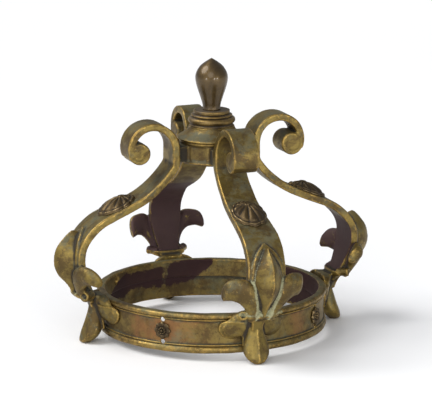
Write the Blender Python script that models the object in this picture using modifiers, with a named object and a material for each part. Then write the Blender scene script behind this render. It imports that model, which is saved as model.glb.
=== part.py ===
"""Ceremonial crown of cast brass: a moulded head band, four scrolled arches with
fleurs-de-lis that stand on bud feet, shell bosses, band rosettes and a turned hub
with a bud finial. Metres, +Z up, the crown's axis on Z and its feet on Z = 0."""

import math

import bmesh
import bpy
from mathutils import Matrix, Vector

# Driving dimensions in metres

CONTACT_GAP = 0.0003

BAND_OUTER_RADIUS = 0.1000
BAND_DEPTH = 0.0076
BAND_HEIGHT = 0.0344
BAND_ABOVE_FLOOR = 0.0063
TOP_RIM_HEIGHT = 0.0046
BOTTOM_RIM_HEIGHT = 0.0062
FILLET_HEIGHT = 0.0018
FILLET_RECESS = 0.0011
FIELD_RECESS = 0.0024
INNER_STEP = 0.0018
BAND_SEGMENTS = 40

PIN_HOLE_DIAMETER = 0.0036
PIN_HOLE_SPACING = 0.0194
ROSETTE_DIAMETER = 0.0154
ROSETTE_HEIGHT = 0.0032
ROSETTE_PETALS = 8

STRAP_THICKNESS = 0.0064
STRAP_WIDTH_FOOT = 0.0220
STRAP_WIDTH_FLEUR = 0.0345
STRAP_WIDTH_MIDDLE = 0.0305
STRAP_WIDTH_NECK = 0.0275
STRAP_WIDTH_SCROLL = 0.0235
STRAP_CHAMFER = 0.0012
STRAP_STATIONS = 27

SCROLL_START_RADIUS = 0.0215
SCROLL_END_RADIUS = 0.0180
SCROLL_TURN_DEGREES = 202
SCROLL_EYE_RADIUS = 0.0093
SCROLL_EYE_CHAMFER = 0.0010
SCROLL_EYE_INSET = 0.0006
SCROLL_EYE_LIFT = 0.0022

FLEUR_START = 0.0150
FLEUR_LENGTH = 0.0610
CENTRE_PETAL_WIDTH = 0.0230
CENTRE_PETAL_HEIGHT = 0.0203
SIDE_PETAL_SPAN = 0.0350
SIDE_PETAL_THICKNESS = 0.0090

TIE_WIDTH = 0.0315
TIE_DEPTH = 0.0175
TIE_HEIGHT = 0.0095
TIE_REACH = 0.0265
TIE_CURL_RADIUS = 0.0037
TIE_CURL_DEPTH = 0.0110

FOOT_WIDTH = 0.0230
FOOT_DEPTH = 0.0212
ROOT_WIDTH = 0.0210
ROOT_DEPTH = 0.0120
LOBE_LENGTH = 0.0260
LOBE_REACH = 0.0290
LOBE_DEPTH = 0.0152
LOBE_HEIGHT = 0.0048

BOSS_LENGTH = 0.0350
BOSS_WIDTH = 0.0300
BOSS_HEIGHT = 0.0074
BOSS_FLUTES = 12
FRONT_SWAY = 0.0026
FRONT_BELLY = 0.0014

HUB_PAD_RADIUS = 0.0331
HUB_PAD_WIDTH = 0.0220
DRUM_RADIUS = 0.0268
DRUM_HEIGHT = 0.0198
DRUM_BOTTOM = 0.1515
DRUM_FILLET_HEIGHT = 0.0017
DRUM_FILLET_REACH = 0.0010
PANEL_WIDTH = 0.0150
PANEL_HEIGHT = 0.0104
PANEL_RECESS = 0.0014
CAP_RIM_RADIUS = 0.0298
CAP_TOP_RADIUS = 0.0196
CAP_HEIGHT = 0.0112
COLLAR_RADIUS = 0.0204
COLLAR_STEP_RADIUS = 0.0178
WASHER_RADIUS = 0.0157
COLLAR_HEIGHT = 0.0134
FINIAL_RADIUS = 0.0140
FINIAL_NECK_RADIUS = 0.0078
FINIAL_HEIGHT = 0.0444
EDGE_EASING = 0.0006
TURNED_SEGMENTS = 24

# Sizes that follow from the driving ones

BAND_BOTTOM = BAND_ABOVE_FLOOR
BAND_TOP = BAND_BOTTOM + BAND_HEIGHT
BAND_INNER_RADIUS = BAND_OUTER_RADIUS - BAND_DEPTH
FIELD_RADIUS = BAND_OUTER_RADIUS - FIELD_RECESS
FIELD_TOP = BAND_TOP - TOP_RIM_HEIGHT - FILLET_HEIGHT
FIELD_BOTTOM = BAND_BOTTOM + BOTTOM_RIM_HEIGHT + FILLET_HEIGHT
FIELD_MIDDLE = (FIELD_TOP + FIELD_BOTTOM) / 2
ROOT_RADIUS = BAND_OUTER_RADIUS + CONTACT_GAP
TIE_BOTTOM = BAND_TOP - 0.45 * TIE_HEIGHT
DRUM_TOP = DRUM_BOTTOM + DRUM_HEIGHT
NECK_RADIUS = HUB_PAD_RADIUS + CONTACT_GAP + STRAP_THICKNESS / 2
NECK_BOTTOM = DRUM_BOTTOM + 0.15 * DRUM_HEIGHT
NECK_TOP = DRUM_BOTTOM + 0.80 * DRUM_HEIGHT

# What an arch may differ in, as the hand-finished ones do: its angle on plan in degrees,
# shares of the common reach, strap width, scroll size and fleur length, the boss's place
# as a share of the way to the neck, how far the upper and the lower edge of each side
# petal hang lower in shares of the fleur, and the sideways lean above and at the belly
COMMON_ARCH = {
    "angle": 0,
    "reach": 1.0,
    "width": 1.0,
    "scroll": 1.0,
    "fleur": 1.0,
    "boss": 0.598,
    "drops": {1: (0.0, 0.0), -1: (0.0, 0.0)},
    "sway": 0.0,
    "belly": 0.0,
}
ARCHES = {
    "front": {
        "angle": -90,
        "width": 0.96,
        "boss": 0.620,
        "drops": {1: (0.0, 0.06), -1: (0.02, 0.05)},
        "sway": FRONT_SWAY,
        "belly": FRONT_BELLY,
    },
    "right": {
        "angle": 0,
        "reach": 1.024,
        "scroll": 1.06,
        "fleur": 0.90,
        "boss": 0.580,
        "drops": {1: (0.0, 0.045), -1: (0.05, 0.03)},
    },
    "back": {
        "angle": 90,
        "width": 0.85,
        "drops": {1: (0.015, 0.03), -1: (0.0, -0.05)},
    },
    "left": {
        "angle": 180,
        "reach": 0.978,
        "fleur": 0.95,
        "boss": 0.580,
        "drops": {1: (0.075, 0.07), -1: (0.04, 0.05)},
    },
}

# The strap's centre line from foot to neck: (share of the way out from the neck
# to the band, share of the way up from the band's top to the neck's bottom)
STRAP_ROUTE = [
    (1.142, -0.094),
    (1.210, 0.003),
    (1.308, 0.117),
    (1.388, 0.258),
    (1.383, 0.381),
    (1.287, 0.482),
    (1.103, 0.574),
    (0.882, 0.631),
    (0.653, 0.684),
    (0.432, 0.745),
    (0.235, 0.829),
    (0.077, 0.921),
]


def clear_scene():
    for item in list(bpy.data.objects):
        bpy.data.objects.remove(item, do_unlink=True)


def new_collection(name):
    collection = bpy.data.collections.new(name)
    bpy.context.scene.collection.children.link(collection)
    return collection


def brass(name, colour, roughness):
    material = bpy.data.materials.new(name)
    material.use_nodes = True
    shader = material.node_tree.nodes["Principled BSDF"]
    shader.inputs["Base Color"].default_value = (*colour, 1.0)
    shader.inputs["Metallic"].default_value = 1.0
    shader.inputs["Roughness"].default_value = roughness
    return material


def mesh_object(name, mesh, collection, material=None):
    item = bpy.data.objects.new(name, mesh)
    collection.objects.link(item)
    if material:
        mesh.materials.clear()
        mesh.materials.append(material)
    return item


def finish_mesh(work, name):
    bmesh.ops.triangulate(work, faces=work.faces)
    bmesh.ops.recalc_face_normals(work, faces=work.faces)
    mesh = bpy.data.meshes.new(name)
    work.to_mesh(mesh)
    work.free()
    return mesh


def blend(table, share):
    """The row of a table (share, value, value...) at a share between its rows."""
    for lower, upper in zip(table, table[1:]):
        if share <= upper[0]:
            step = (share - lower[0]) / (upper[0] - lower[0])
            step = max(0.0, step)
            return [a + (b - a) * step for a, b in zip(lower[1:], upper[1:])]
    return list(table[-1][1:])


def loft(name, rings):
    """A closed skin through rings of points. A ring of one point is a tip."""
    work = bmesh.new()
    levels = [[work.verts.new(point) for point in ring] for ring in rings]
    for lower, upper in zip(levels, levels[1:]):
        count = max(len(lower), len(upper))
        for index in range(count):
            after = (index + 1) % count
            if len(lower) == 1:
                work.faces.new([lower[0], upper[after], upper[index]])
            elif len(upper) == 1:
                work.faces.new([lower[index], lower[after], upper[0]])
            else:
                work.faces.new([lower[index], lower[after], upper[after], upper[index]])
    for end in (levels[0], levels[-1]):
        if len(end) > 1:
            work.faces.new(end)
    return finish_mesh(work, name)


def through(points, spans, beyond):
    """A smooth line through points, with a number of steps between each pair, that
    leaves the last point as if it went on to a point beyond."""
    ends = [points[0] * 2 - points[1]] + points + [beyond]
    line = []
    for a, b, c, d in zip(ends, ends[1:], ends[2:], ends[3:]):
        for step in range(spans):
            x = step / spans
            line.append(
                0.5 * (2 * b + (c - a) * x + (2 * a - 5 * b + 4 * c - d) * x ** 2
                       + (3 * b - a - 3 * c + d) * x ** 3)
            )
    line.append(points[-1])
    return line


def strap_line(reach, scroll):
    """The strap's centre line in the arch's plane, as (radius, height) points."""
    out = (BAND_OUTER_RADIUS - NECK_RADIUS) * reach
    up = NECK_BOTTOM - BAND_TOP
    route = [Vector((NECK_RADIUS + u * out, BAND_TOP + v * up)) for u, v in STRAP_ROUTE]
    last = route[-1]
    route.append(Vector((NECK_RADIUS, NECK_BOTTOM)))
    line = through(route, 12, Vector((last.x, 2 * NECK_BOTTOM - last.y)))
    line.append(Vector((NECK_RADIUS, (NECK_BOTTOM + NECK_TOP) / 2)))
    line.append(Vector((NECK_RADIUS, NECK_TOP)))
    for step in range(1, 61):
        share = step / 60
        radius = scroll * scroll_radius(share)
        angle = math.pi - share * math.radians(SCROLL_TURN_DEGREES)
        line.append(scroll_centre(scroll) + radius * Vector((math.cos(angle), math.sin(angle))))
    return line


def scroll_centre(scroll):
    return Vector((NECK_RADIUS + scroll * SCROLL_START_RADIUS, NECK_TOP))


def scroll_radius(share):
    return SCROLL_END_RADIUS + (SCROLL_START_RADIUS - SCROLL_END_RADIUS) * (1 - share) ** 2


class Strap:
    """The strap's path: places points by distance along it, sideways and outward."""

    def __init__(self, traits):
        traits = {**COMMON_ARCH, **traits}
        self.line = strap_line(traits["reach"], traits["scroll"])
        self.width = traits["width"]
        self.scroll = traits["scroll"]
        self.fleur_length = FLEUR_LENGTH * traits["fleur"]
        self.boss = traits["boss"]
        self.drops = traits["drops"]
        self.sway = traits["sway"]
        self.belly = traits["belly"]
        self.run = [0.0]
        for a, b in zip(self.line, self.line[1:]):
            self.run.append(self.run[-1] + (b - a).length)
        self.length = self.run[-1]
        self.neck = self.distance_at_height(NECK_TOP)

    def distance_at_height(self, height):
        for point, run in zip(self.line, self.run):
            if point.y >= height:
                return run
        return self.length

    def centre(self, distance):
        distance = min(max(distance, 0.0), self.length)
        for index in range(1, len(self.run)):
            if self.run[index] >= distance:
                break
        step = (distance - self.run[index - 1]) / (self.run[index] - self.run[index - 1])
        return self.line[index - 1].lerp(self.line[index], step)

    def outward(self, distance):
        reach = STRAP_THICKNESS / 2
        along = self.centre(distance + reach) - self.centre(distance - reach)
        return Vector((along.y, -along.x)).normalized()

    def place(self, distance, side, rise):
        """A point of the arch that lies along +X, side towards +Y."""
        point = self.centre(distance) + rise * self.outward(distance)
        ease = min(1.0, max(0.0, distance - FLEUR_START) / FLEUR_LENGTH)
        bulge = math.sin(math.pi * min(1.0, max(0.0, distance / self.neck))) ** 2
        return Vector((point.x, side + self.sway * ease + self.belly * bulge, point.y))

    def half_width(self, distance):
        table = [
            (0.00, STRAP_WIDTH_FOOT),
            (0.10, STRAP_WIDTH_FOOT),
            (0.24, STRAP_WIDTH_FLEUR),
            (0.40, STRAP_WIDTH_FLEUR),
            (0.70, STRAP_WIDTH_MIDDLE),
            (1.00, STRAP_WIDTH_NECK),
        ]
        if distance <= self.neck:
            return self.width * blend(table, distance / self.neck)[0] / 2
        share = min(1.0, 3 * (distance - self.neck) / (self.length - self.neck))
        wide = STRAP_WIDTH_NECK + (STRAP_WIDTH_SCROLL - STRAP_WIDTH_NECK) * share
        return self.width * wide / 2


def strap_section(strap, distance):
    wide = strap.half_width(distance)
    thick = STRAP_THICKNESS / 2
    corner = STRAP_CHAMFER
    outline = [
        (wide - corner, thick),
        (wide, thick - corner),
        (wide, -thick),
    ]
    outline += [(-side, rise) for side, rise in reversed(outline)]
    return [strap.place(distance, side, rise) for side, rise in outline]


def strap_mesh(strap):
    stations = [strap.length * step / STRAP_STATIONS for step in range(STRAP_STATIONS + 1)]
    return loft("strap", [strap_section(strap, distance) for distance in stations])


def scroll_eye_mesh(strap):
    """The rolled end of the scroll, a cylinder lying across the strap."""
    radius = strap.scroll * SCROLL_EYE_RADIUS
    work = bmesh.new()
    bmesh.ops.create_cone(
        work,
        cap_ends=True,
        segments=16,
        radius1=radius,
        radius2=radius,
        depth=2 * (strap.half_width(strap.length) + CONTACT_GAP),
    )
    rims = [edge for edge in work.edges if edge.verts[0].co.z * edge.verts[1].co.z > 0]
    bmesh.ops.bevel(work, geom=rims, offset=SCROLL_EYE_CHAMFER, segments=1, affect="EDGES")
    middle = scroll_centre(strap.scroll)
    inside = strap.centre(strap.length) - middle
    shift = inside.length - radius + STRAP_THICKNESS / 2
    nudge = Vector((-SCROLL_EYE_INSET, SCROLL_EYE_LIFT))
    centre = middle + inside.normalized() * shift + nudge
    place = Matrix.Translation((centre.x, strap.sway, centre.y))
    turn = Matrix.Rotation(math.radians(90), 4, "X")
    bmesh.ops.transform(work, matrix=place @ turn, verts=work.verts)
    return finish_mesh(work, "scroll_eye")


def centre_petal_mesh(strap):
    """The almond petal: rows of (share of its length, width share, height share)."""
    rows = [
        (0.00, 0.36, 0.40),
        (0.11, 0.38, 0.58),
        (0.28, 0.60, 0.63),
        (0.45, 0.90, 0.88),
        (0.60, 1.00, 1.00),
        (0.75, 0.92, 0.92),
        (0.87, 0.62, 0.74),
        (0.95, 0.32, 0.50),
        (1.00, 0.06, 0.20),
    ]
    half_outline = [(1.0, 0.0), (1.0, 0.38), (0.58, 0.80), (0.0, 1.0)]
    outline = half_outline + [(-side, rise) for side, rise in reversed(half_outline[:-1])]
    rings = []
    for along, wide, high in rows:
        distance = FLEUR_START + along * strap.fleur_length
        half = wide * CENTRE_PETAL_WIDTH / 2
        crest = high * CENTRE_PETAL_HEIGHT
        rings.append([strap.place(distance, side * half, rise * crest) for side, rise in outline])
    return loft("centre_petal", rings)


def side_petal_mesh(strap, side):
    """A hooked side petal. Each row gives its upper and its lower edge as (share of
    the span, share of the fleur's length), then the rise of its middle in shares of
    the span and its thickness share."""
    rows = [
        (0.06, 0.02, 0.31, -0.02, 0.13, 0.95),
        (0.13, 0.26, 0.41, 0.15, 0.14, 1.10),
        (0.28, 0.48, 0.50, 0.24, 0.13, 1.20),
        (0.52, 0.60, 0.62, 0.30, 0.07, 1.25),
        (0.77, 0.60, 0.73, 0.31, -0.02, 1.35),
        (0.93, 0.54, 0.82, 0.31, -0.09, 1.35),
        (1.00, 0.45, 0.88, 0.29, -0.15, 1.05),
    ]
    lens = [(0.0, 0.0), (0.30, 0.50), (0.75, 0.48), (1.0, 0.0), (0.75, -0.40), (0.25, -0.40)]
    top_drop, low_drop = strap.drops[side]
    rings = []
    for top_out, top_up, low_out, low_up, middle, thick in rows:
        ring = []
        for across, rise in lens:
            out = top_out + (low_out - top_out) * across
            drop = (top_drop + (low_drop - top_drop) * across) * min(1.0, 2 * out)
            up = top_up + (low_up - top_up) * across - drop
            height = middle * SIDE_PETAL_SPAN + rise * thick * SIDE_PETAL_THICKNESS
            distance = FLEUR_START + up * strap.fleur_length
            ring.append(strap.place(distance, side * out * SIDE_PETAL_SPAN, height))
        rings.append(ring)
    low = FLEUR_START + (0.255 - low_drop) * strap.fleur_length
    tip = strap.place(low, side * 0.94 * SIDE_PETAL_SPAN, -0.19 * SIDE_PETAL_SPAN)
    return loft("side_petal", rings + [[tip]])


def flat_oval(height, near, far, half_width, points, squareness=1.0):
    """A level ring between two radii, from an ellipse towards a rounded rectangle."""
    ring = []
    middle = (near + far) / 2
    for step in range(points):
        angle = 2 * math.pi * (step + 0.5) / points
        ring.append(
            Vector((
                middle + (far - near) / 2 * rounded(math.cos(angle), squareness),
                half_width * rounded(math.sin(angle), squareness),
                height,
            ))
        )
    return ring


def rounded(value, squareness):
    return math.copysign(abs(value) ** squareness, value)


def tie_mesh():
    """The collar that binds the petals above the foot. Rows of (share of its height,
    reach and width shares)."""
    rows = [
        (0.00, 0.56, 0.66),
        (0.45, 0.80, 0.88),
        (0.82, 1.00, 1.00),
        (1.00, 0.93, 0.92),
    ]
    far = BAND_OUTER_RADIUS + TIE_REACH
    near = far - TIE_DEPTH
    rings = []
    for up, reach, wide in rows:
        height = TIE_BOTTOM + up * TIE_HEIGHT
        edge = near + reach * TIE_DEPTH
        rings.append(flat_oval(height, near, edge, wide * TIE_WIDTH / 2, 12, 0.75))
    return loft("tie", rings)


def tie_curl_mesh(side):
    """The rolled end of the tie, a small cylinder that lies along the radius."""
    work = bmesh.new()
    bmesh.ops.create_cone(
        work,
        cap_ends=True,
        segments=8,
        radius1=TIE_CURL_RADIUS,
        radius2=TIE_CURL_RADIUS * 0.8,
        depth=TIE_CURL_DEPTH,
    )
    middle = BAND_OUTER_RADIUS + TIE_REACH - TIE_DEPTH / 2
    out = side * (TIE_WIDTH / 2 - TIE_CURL_RADIUS / 2)
    height = TIE_BOTTOM + TIE_HEIGHT - TIE_CURL_RADIUS / 6
    turn = Matrix.Rotation(math.radians(90), 4, "Y")
    place = Matrix.Translation((middle, out, height))
    bmesh.ops.transform(work, matrix=place @ turn, verts=work.verts)
    return finish_mesh(work, "tie_curl")


def foot_mesh():
    """The bud that the crown stands on, with a small flat spot on the floor. Rows of
    (share of the height, near and far side in shares of the depth, width share)."""
    rows = [
        (0.96, 0.03, 0.80, 0.58),
        (0.79, 0.03, 0.78, 0.62),
        (0.64, 0.03, 0.64, 0.67),
        (0.48, 0.03, 0.58, 0.80),
        (0.31, 0.05, 0.68, 0.96),
        (0.15, 0.16, 0.93, 0.95),
        (0.05, 0.27, 0.98, 0.68),
        (0.00, 0.36, 0.74, 0.30),
    ]
    rings = []
    for up, near, far, wide in rows:
        rings.append(
            flat_oval(
                up * BAND_TOP,
                ROOT_RADIUS + near * FOOT_DEPTH,
                ROOT_RADIUS + far * FOOT_DEPTH,
                wide * FOOT_WIDTH / 2,
                8,
                0.9,
            )
        )
    return loft("foot", rings)


def root_mesh():
    """The block that seats against the band's rims and carries strap, foot and lobes."""
    bottom = BAND_BOTTOM + 0.10 * BAND_HEIGHT
    top = TIE_BOTTOM + 0.7 * TIE_HEIGHT
    far = ROOT_RADIUS + ROOT_DEPTH
    rings = [
        flat_oval(bottom, ROOT_RADIUS, far - ROOT_DEPTH / 3, ROOT_WIDTH / 2, 8, 0.5),
        flat_oval(top, ROOT_RADIUS, far, ROOT_WIDTH / 2, 8, 0.5),
    ]
    return loft("root", rings)


def dome_mesh(name, segments, rings, shape):
    """A ball whose lower half becomes the flat back and whose upper half the front.
    The shape function places a point from its angle, its share of the radius and
    whether it is on the front."""
    work = bmesh.new()
    bmesh.ops.create_uvsphere(work, u_segments=segments, v_segments=rings, radius=1.0)
    for vertex in work.verts:
        angle = math.atan2(vertex.co.y, vertex.co.x)
        share = min(1.0, math.hypot(vertex.co.x, vertex.co.y))
        vertex.co = shape(angle, share, vertex.co.z > 0.01)
    return finish_mesh(work, name)


def on_band(side, height, rise):
    """A point on the band's field at +X, side measured round the field."""
    angle = side / FIELD_RADIUS
    radius = FIELD_RADIUS + CONTACT_GAP + rise
    return Vector((radius * math.cos(angle), radius * math.sin(angle), height))


def lobe_mesh(side):
    """A rounded leaf lobe that lies on the band's field beside the foot."""
    middle = side * (LOBE_REACH - LOBE_LENGTH / 2)
    height = FIELD_TOP - CONTACT_GAP - LOBE_DEPTH / 2

    def shape(angle, share, front):
        rise = LOBE_HEIGHT * (1 - share ** 4) ** 0.5 if front else 0.0
        return on_band(
            middle + share * math.cos(angle) * LOBE_LENGTH / 2,
            height + share * math.sin(angle) * LOBE_DEPTH / 2,
            rise,
        )

    return dome_mesh("lobe", 10, 4, shape)


def boss_mesh(strap):
    """A fluted shell boss that lies on the strap's outer face."""
    middle = strap.boss * strap.neck

    def shape(angle, share, front):
        flute = math.cos(BOSS_FLUTES * angle)
        edge = 1 + 0.035 * flute * share
        rise = 0.0
        if front:
            rise = BOSS_HEIGHT * (0.65 * (1 - share ** 1.6) + 0.35 * (1 - share ** 6))
            rise *= 1 + 0.10 * flute * share
        return strap.place(
            middle + share * edge * math.cos(angle) * BOSS_LENGTH / 2,
            share * edge * math.sin(angle) * BOSS_WIDTH / 2,
            STRAP_THICKNESS / 2 + CONTACT_GAP + rise,
        )

    return dome_mesh("boss", 2 * BOSS_FLUTES, 4, shape)


def rosette_mesh():
    """A small flower on the band's field, petals round a centre bead."""

    def shape(angle, share, front):
        petal = math.cos(ROSETTE_PETALS * angle)
        edge = share * (1 + 0.07 * petal * share) / 1.07
        rise = 0.0
        if front:
            rise = ROSETTE_HEIGHT * (0.45 * (1 - share ** 6) + 0.55 * (1 - share) ** 1.2)
            rise *= 1 + 0.16 * petal * share
        return on_band(
            edge * math.cos(angle) * ROSETTE_DIAMETER / 2,
            FIELD_MIDDLE + edge * math.sin(angle) * ROSETTE_DIAMETER / 2,
            rise,
        )

    return dome_mesh("rosette", 2 * ROSETTE_PETALS, 4, shape)


def join(base, others, collection):
    """The Boolean union of meshes as one new mesh."""
    body = mesh_object("union_" + base.name, base, collection)
    for index, mesh in enumerate(others):
        tool = mesh_object(mesh.name + "_" + str(index), mesh, collection)
        tool.hide_render = True
        tool.display_type = "WIRE"
        union = body.modifiers.new(tool.name, "BOOLEAN")
        union.operation = "UNION"
        union.object = tool
    bpy.context.view_layer.update()
    evaluated = body.evaluated_get(bpy.context.evaluated_depsgraph_get())
    mesh = bpy.data.meshes.new_from_object(evaluated)
    for item in list(collection.objects):
        bpy.data.objects.remove(item, do_unlink=True)
    return mesh


def arch_mesh(name, strap, collection):
    pieces = [
        scroll_eye_mesh(strap),
        root_mesh(),
        foot_mesh(),
        tie_mesh(),
        tie_curl_mesh(1),
        tie_curl_mesh(-1),
        centre_petal_mesh(strap),
        side_petal_mesh(strap, 1),
        side_petal_mesh(strap, -1),
        lobe_mesh(1),
        lobe_mesh(-1),
    ]
    mesh = join(strap_mesh(strap), pieces, collection)
    mesh.name = name
    return mesh


def build_arches(parts, tools, hub):
    cast = brass("aged_cast_brass", (0.21, 0.14, 0.045), 0.42)
    dark = brass("dark_shell_brass", (0.078, 0.052, 0.030), 0.50)
    for name, traits in ARCHES.items():
        strap = Strap(traits)
        arch = mesh_object("arch_" + name, arch_mesh("arch_" + name, strap, tools), parts, cast)
        boss = mesh_object("boss_" + name, boss_mesh(strap), parts, dark)
        for item in (arch, boss):
            item.rotation_euler.z = math.radians(traits["angle"])
            item.parent = hub


def screw(name, profile, segments, parts, material):
    """A turned piece from a profile at +X that runs down its outer side."""
    mesh = bpy.data.meshes.new(name)
    points = [(radius, 0.0, height) for radius, height in profile]
    edges = [(index, index + 1) for index in range(len(points) - 1)]
    if profile[0][0] > 0:
        edges.append((len(points) - 1, 0))
    mesh.from_pydata(points, edges, [])
    item = mesh_object(name, mesh, parts, material)
    turn = item.modifiers.new("turn", "SCREW")
    turn.steps = segments
    turn.render_steps = segments
    turn.use_merge_vertices = True
    turn.merge_threshold = 0.00001
    turn.use_smooth_shade = True
    return item


def half_round(radius, top, height, steps):
    """Points down a half-round moulding that reaches a radius."""
    points = []
    for step in range(steps + 1):
        angle = math.pi / 2 - math.pi * step / steps
        points.append((
            radius - height / 2 + height / 2 * math.cos(angle),
            top - height / 2 + height / 2 * math.sin(angle),
        ))
    return points


def band_profile():
    fillet = BAND_OUTER_RADIUS - FILLET_RECESS
    corner = FILLET_RECESS
    step_height = BAND_TOP - 0.45 * BAND_HEIGHT
    lower_rim = BAND_BOTTOM + BOTTOM_RIM_HEIGHT
    profile = [(BAND_INNER_RADIUS + corner, BAND_TOP)]
    profile += half_round(BAND_OUTER_RADIUS, BAND_TOP, TOP_RIM_HEIGHT, 3)[:-1]
    profile += [
        (FIELD_RADIUS, BAND_TOP - TOP_RIM_HEIGHT),
        (fillet, FIELD_TOP + FILLET_HEIGHT / 2),
        (FIELD_RADIUS, FIELD_TOP),
        (FIELD_RADIUS, FIELD_BOTTOM),
        (fillet, FIELD_BOTTOM - FILLET_HEIGHT / 2),
        (FIELD_RADIUS, lower_rim),
    ]
    profile += half_round(BAND_OUTER_RADIUS, lower_rim, BOTTOM_RIM_HEIGHT, 3)[1:]
    profile += [
        (BAND_INNER_RADIUS + INNER_STEP + corner, BAND_BOTTOM),
        (BAND_INNER_RADIUS + INNER_STEP, BAND_BOTTOM + corner),
        (BAND_INNER_RADIUS + INNER_STEP, step_height - INNER_STEP),
        (BAND_INNER_RADIUS, step_height),
        (BAND_INNER_RADIUS, BAND_TOP - corner),
    ]
    return profile


def pin_hole(name, height, degrees, tools):
    work = bmesh.new()
    bmesh.ops.create_cone(
        work,
        cap_ends=True,
        segments=10,
        radius1=PIN_HOLE_DIAMETER / 2,
        radius2=PIN_HOLE_DIAMETER / 2,
        depth=3 * BAND_DEPTH,
    )
    item = mesh_object(name, finish_mesh(work, name), tools)
    angle = math.radians(degrees)
    middle = BAND_OUTER_RADIUS - BAND_DEPTH / 2
    item.location = (middle * math.cos(angle), middle * math.sin(angle), height)
    item.rotation_euler = (0, math.radians(90), angle)
    item.hide_render = True
    item.display_type = "WIRE"
    return item


def build_band(parts, tools, hub):
    material = brass("band_brass", (0.225, 0.135, 0.055), 0.45)
    band = screw("band", band_profile(), BAND_SEGMENTS, parts, material)
    band.parent = hub
    dark = brass("dark_rosette_brass", (0.070, 0.045, 0.028), 0.50)
    rosette = rosette_mesh()
    for index, name in enumerate(("front_right", "back_right", "back_left", "front_left")):
        degrees = -45 + 90 * index
        for level, sign in (("upper", 1), ("lower", -1)):
            height = FIELD_MIDDLE + sign * PIN_HOLE_SPACING / 2
            tool = pin_hole("hole_" + name + "_" + level, height, degrees, tools)
            cut = band.modifiers.new(tool.name, "BOOLEAN")
            cut.operation = "DIFFERENCE"
            cut.object = tool
        flower = mesh_object("rosette_" + name, rosette, parts, dark)
        flower.rotation_euler.z = math.radians(degrees)
        flower.parent = hub


def drum_profile():
    rim = DRUM_RADIUS + DRUM_FILLET_REACH
    band = DRUM_FILLET_HEIGHT
    return [
        (0.0, DRUM_TOP),
        (rim, DRUM_TOP),
        (rim, DRUM_TOP - band),
        (DRUM_RADIUS, DRUM_TOP - 1.5 * band),
        (DRUM_RADIUS, DRUM_BOTTOM + 2.5 * band),
        (rim, DRUM_BOTTOM + 2 * band),
        (rim, DRUM_BOTTOM + band),
        (DRUM_RADIUS - DRUM_FILLET_REACH, DRUM_BOTTOM),
        (0.0, DRUM_BOTTOM),
    ]


def box_tool(name, near, far, width, low, high, degrees, tools):
    """A box on a radius of the hub, used to join or to cut."""
    work = bmesh.new()
    bmesh.ops.create_cube(work, size=1.0)
    bmesh.ops.scale(work, vec=(far - near, width, high - low), verts=work.verts)
    item = mesh_object(name, finish_mesh(work, name), tools)
    angle = math.radians(degrees)
    middle = (near + far) / 2
    item.location = (middle * math.cos(angle), middle * math.sin(angle), (low + high) / 2)
    item.rotation_euler.z = angle
    item.hide_render = True
    item.display_type = "WIRE"
    return item


def build_drum(parts, tools, hub):
    material = brass("drum_brass", (0.205, 0.125, 0.050), 0.44)
    drum = screw("hub_drum", drum_profile(), TURNED_SEGMENTS, parts, material)
    drum.parent = hub
    panel_middle = (DRUM_BOTTOM + DRUM_TOP + DRUM_FILLET_HEIGHT) / 2
    for name, traits in ARCHES.items():
        degrees = traits["angle"]
        pad = box_tool(
            "pad_" + name, DRUM_RADIUS / 2, HUB_PAD_RADIUS, HUB_PAD_WIDTH,
            NECK_BOTTOM, NECK_TOP, degrees, tools,
        )
        panel = box_tool(
            "panel_" + name, DRUM_RADIUS - PANEL_RECESS, HUB_PAD_RADIUS, PANEL_WIDTH,
            panel_middle - PANEL_HEIGHT / 2, panel_middle + PANEL_HEIGHT / 2, degrees + 45, tools,
        )
        for tool, operation in ((pad, "UNION"), (panel, "DIFFERENCE")):
            change = drum.modifiers.new(tool.name, "BOOLEAN")
            change.operation = operation
            change.object = tool


def cap_profile(bottom):
    """The ogee cap, flared at its rim."""
    rise = [
        (0.00, 1.00),
        (0.05, 0.85),
        (0.22, 0.62),
        (0.55, 0.40),
        (0.86, 0.24),
        (1.00, 0.14),
        (0.99, 0.02),
    ]
    flare = CAP_RIM_RADIUS - CAP_TOP_RADIUS
    profile = [(0.0, bottom + CAP_HEIGHT)]
    profile += [(CAP_TOP_RADIUS + out * flare, bottom + up * CAP_HEIGHT) for out, up in rise]
    return profile + [(DRUM_RADIUS, bottom), (0.0, bottom)]


def collar_profile(bottom):
    """The turned collar: a torus, a step and a flat washer."""
    torus = 0.40 * COLLAR_HEIGHT
    neck = bottom + 0.16 * COLLAR_HEIGHT
    groove = COLLAR_STEP_RADIUS - 0.06 * COLLAR_RADIUS
    profile = [
        (0.0, bottom + COLLAR_HEIGHT),
        (WASHER_RADIUS - EDGE_EASING, bottom + COLLAR_HEIGHT),
        (WASHER_RADIUS, bottom + 0.95 * COLLAR_HEIGHT),
        (WASHER_RADIUS, bottom + 0.80 * COLLAR_HEIGHT),
        (WASHER_RADIUS - 2 * EDGE_EASING, bottom + 0.76 * COLLAR_HEIGHT),
        (COLLAR_STEP_RADIUS, bottom + 0.71 * COLLAR_HEIGHT),
        (COLLAR_STEP_RADIUS, bottom + 0.62 * COLLAR_HEIGHT),
        (groove, bottom + 0.58 * COLLAR_HEIGHT),
    ]
    profile += half_round(COLLAR_RADIUS, neck + torus, torus, 3)[1:]
    return profile + [(CAP_TOP_RADIUS - EDGE_EASING, bottom), (0.0, bottom)]


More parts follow.
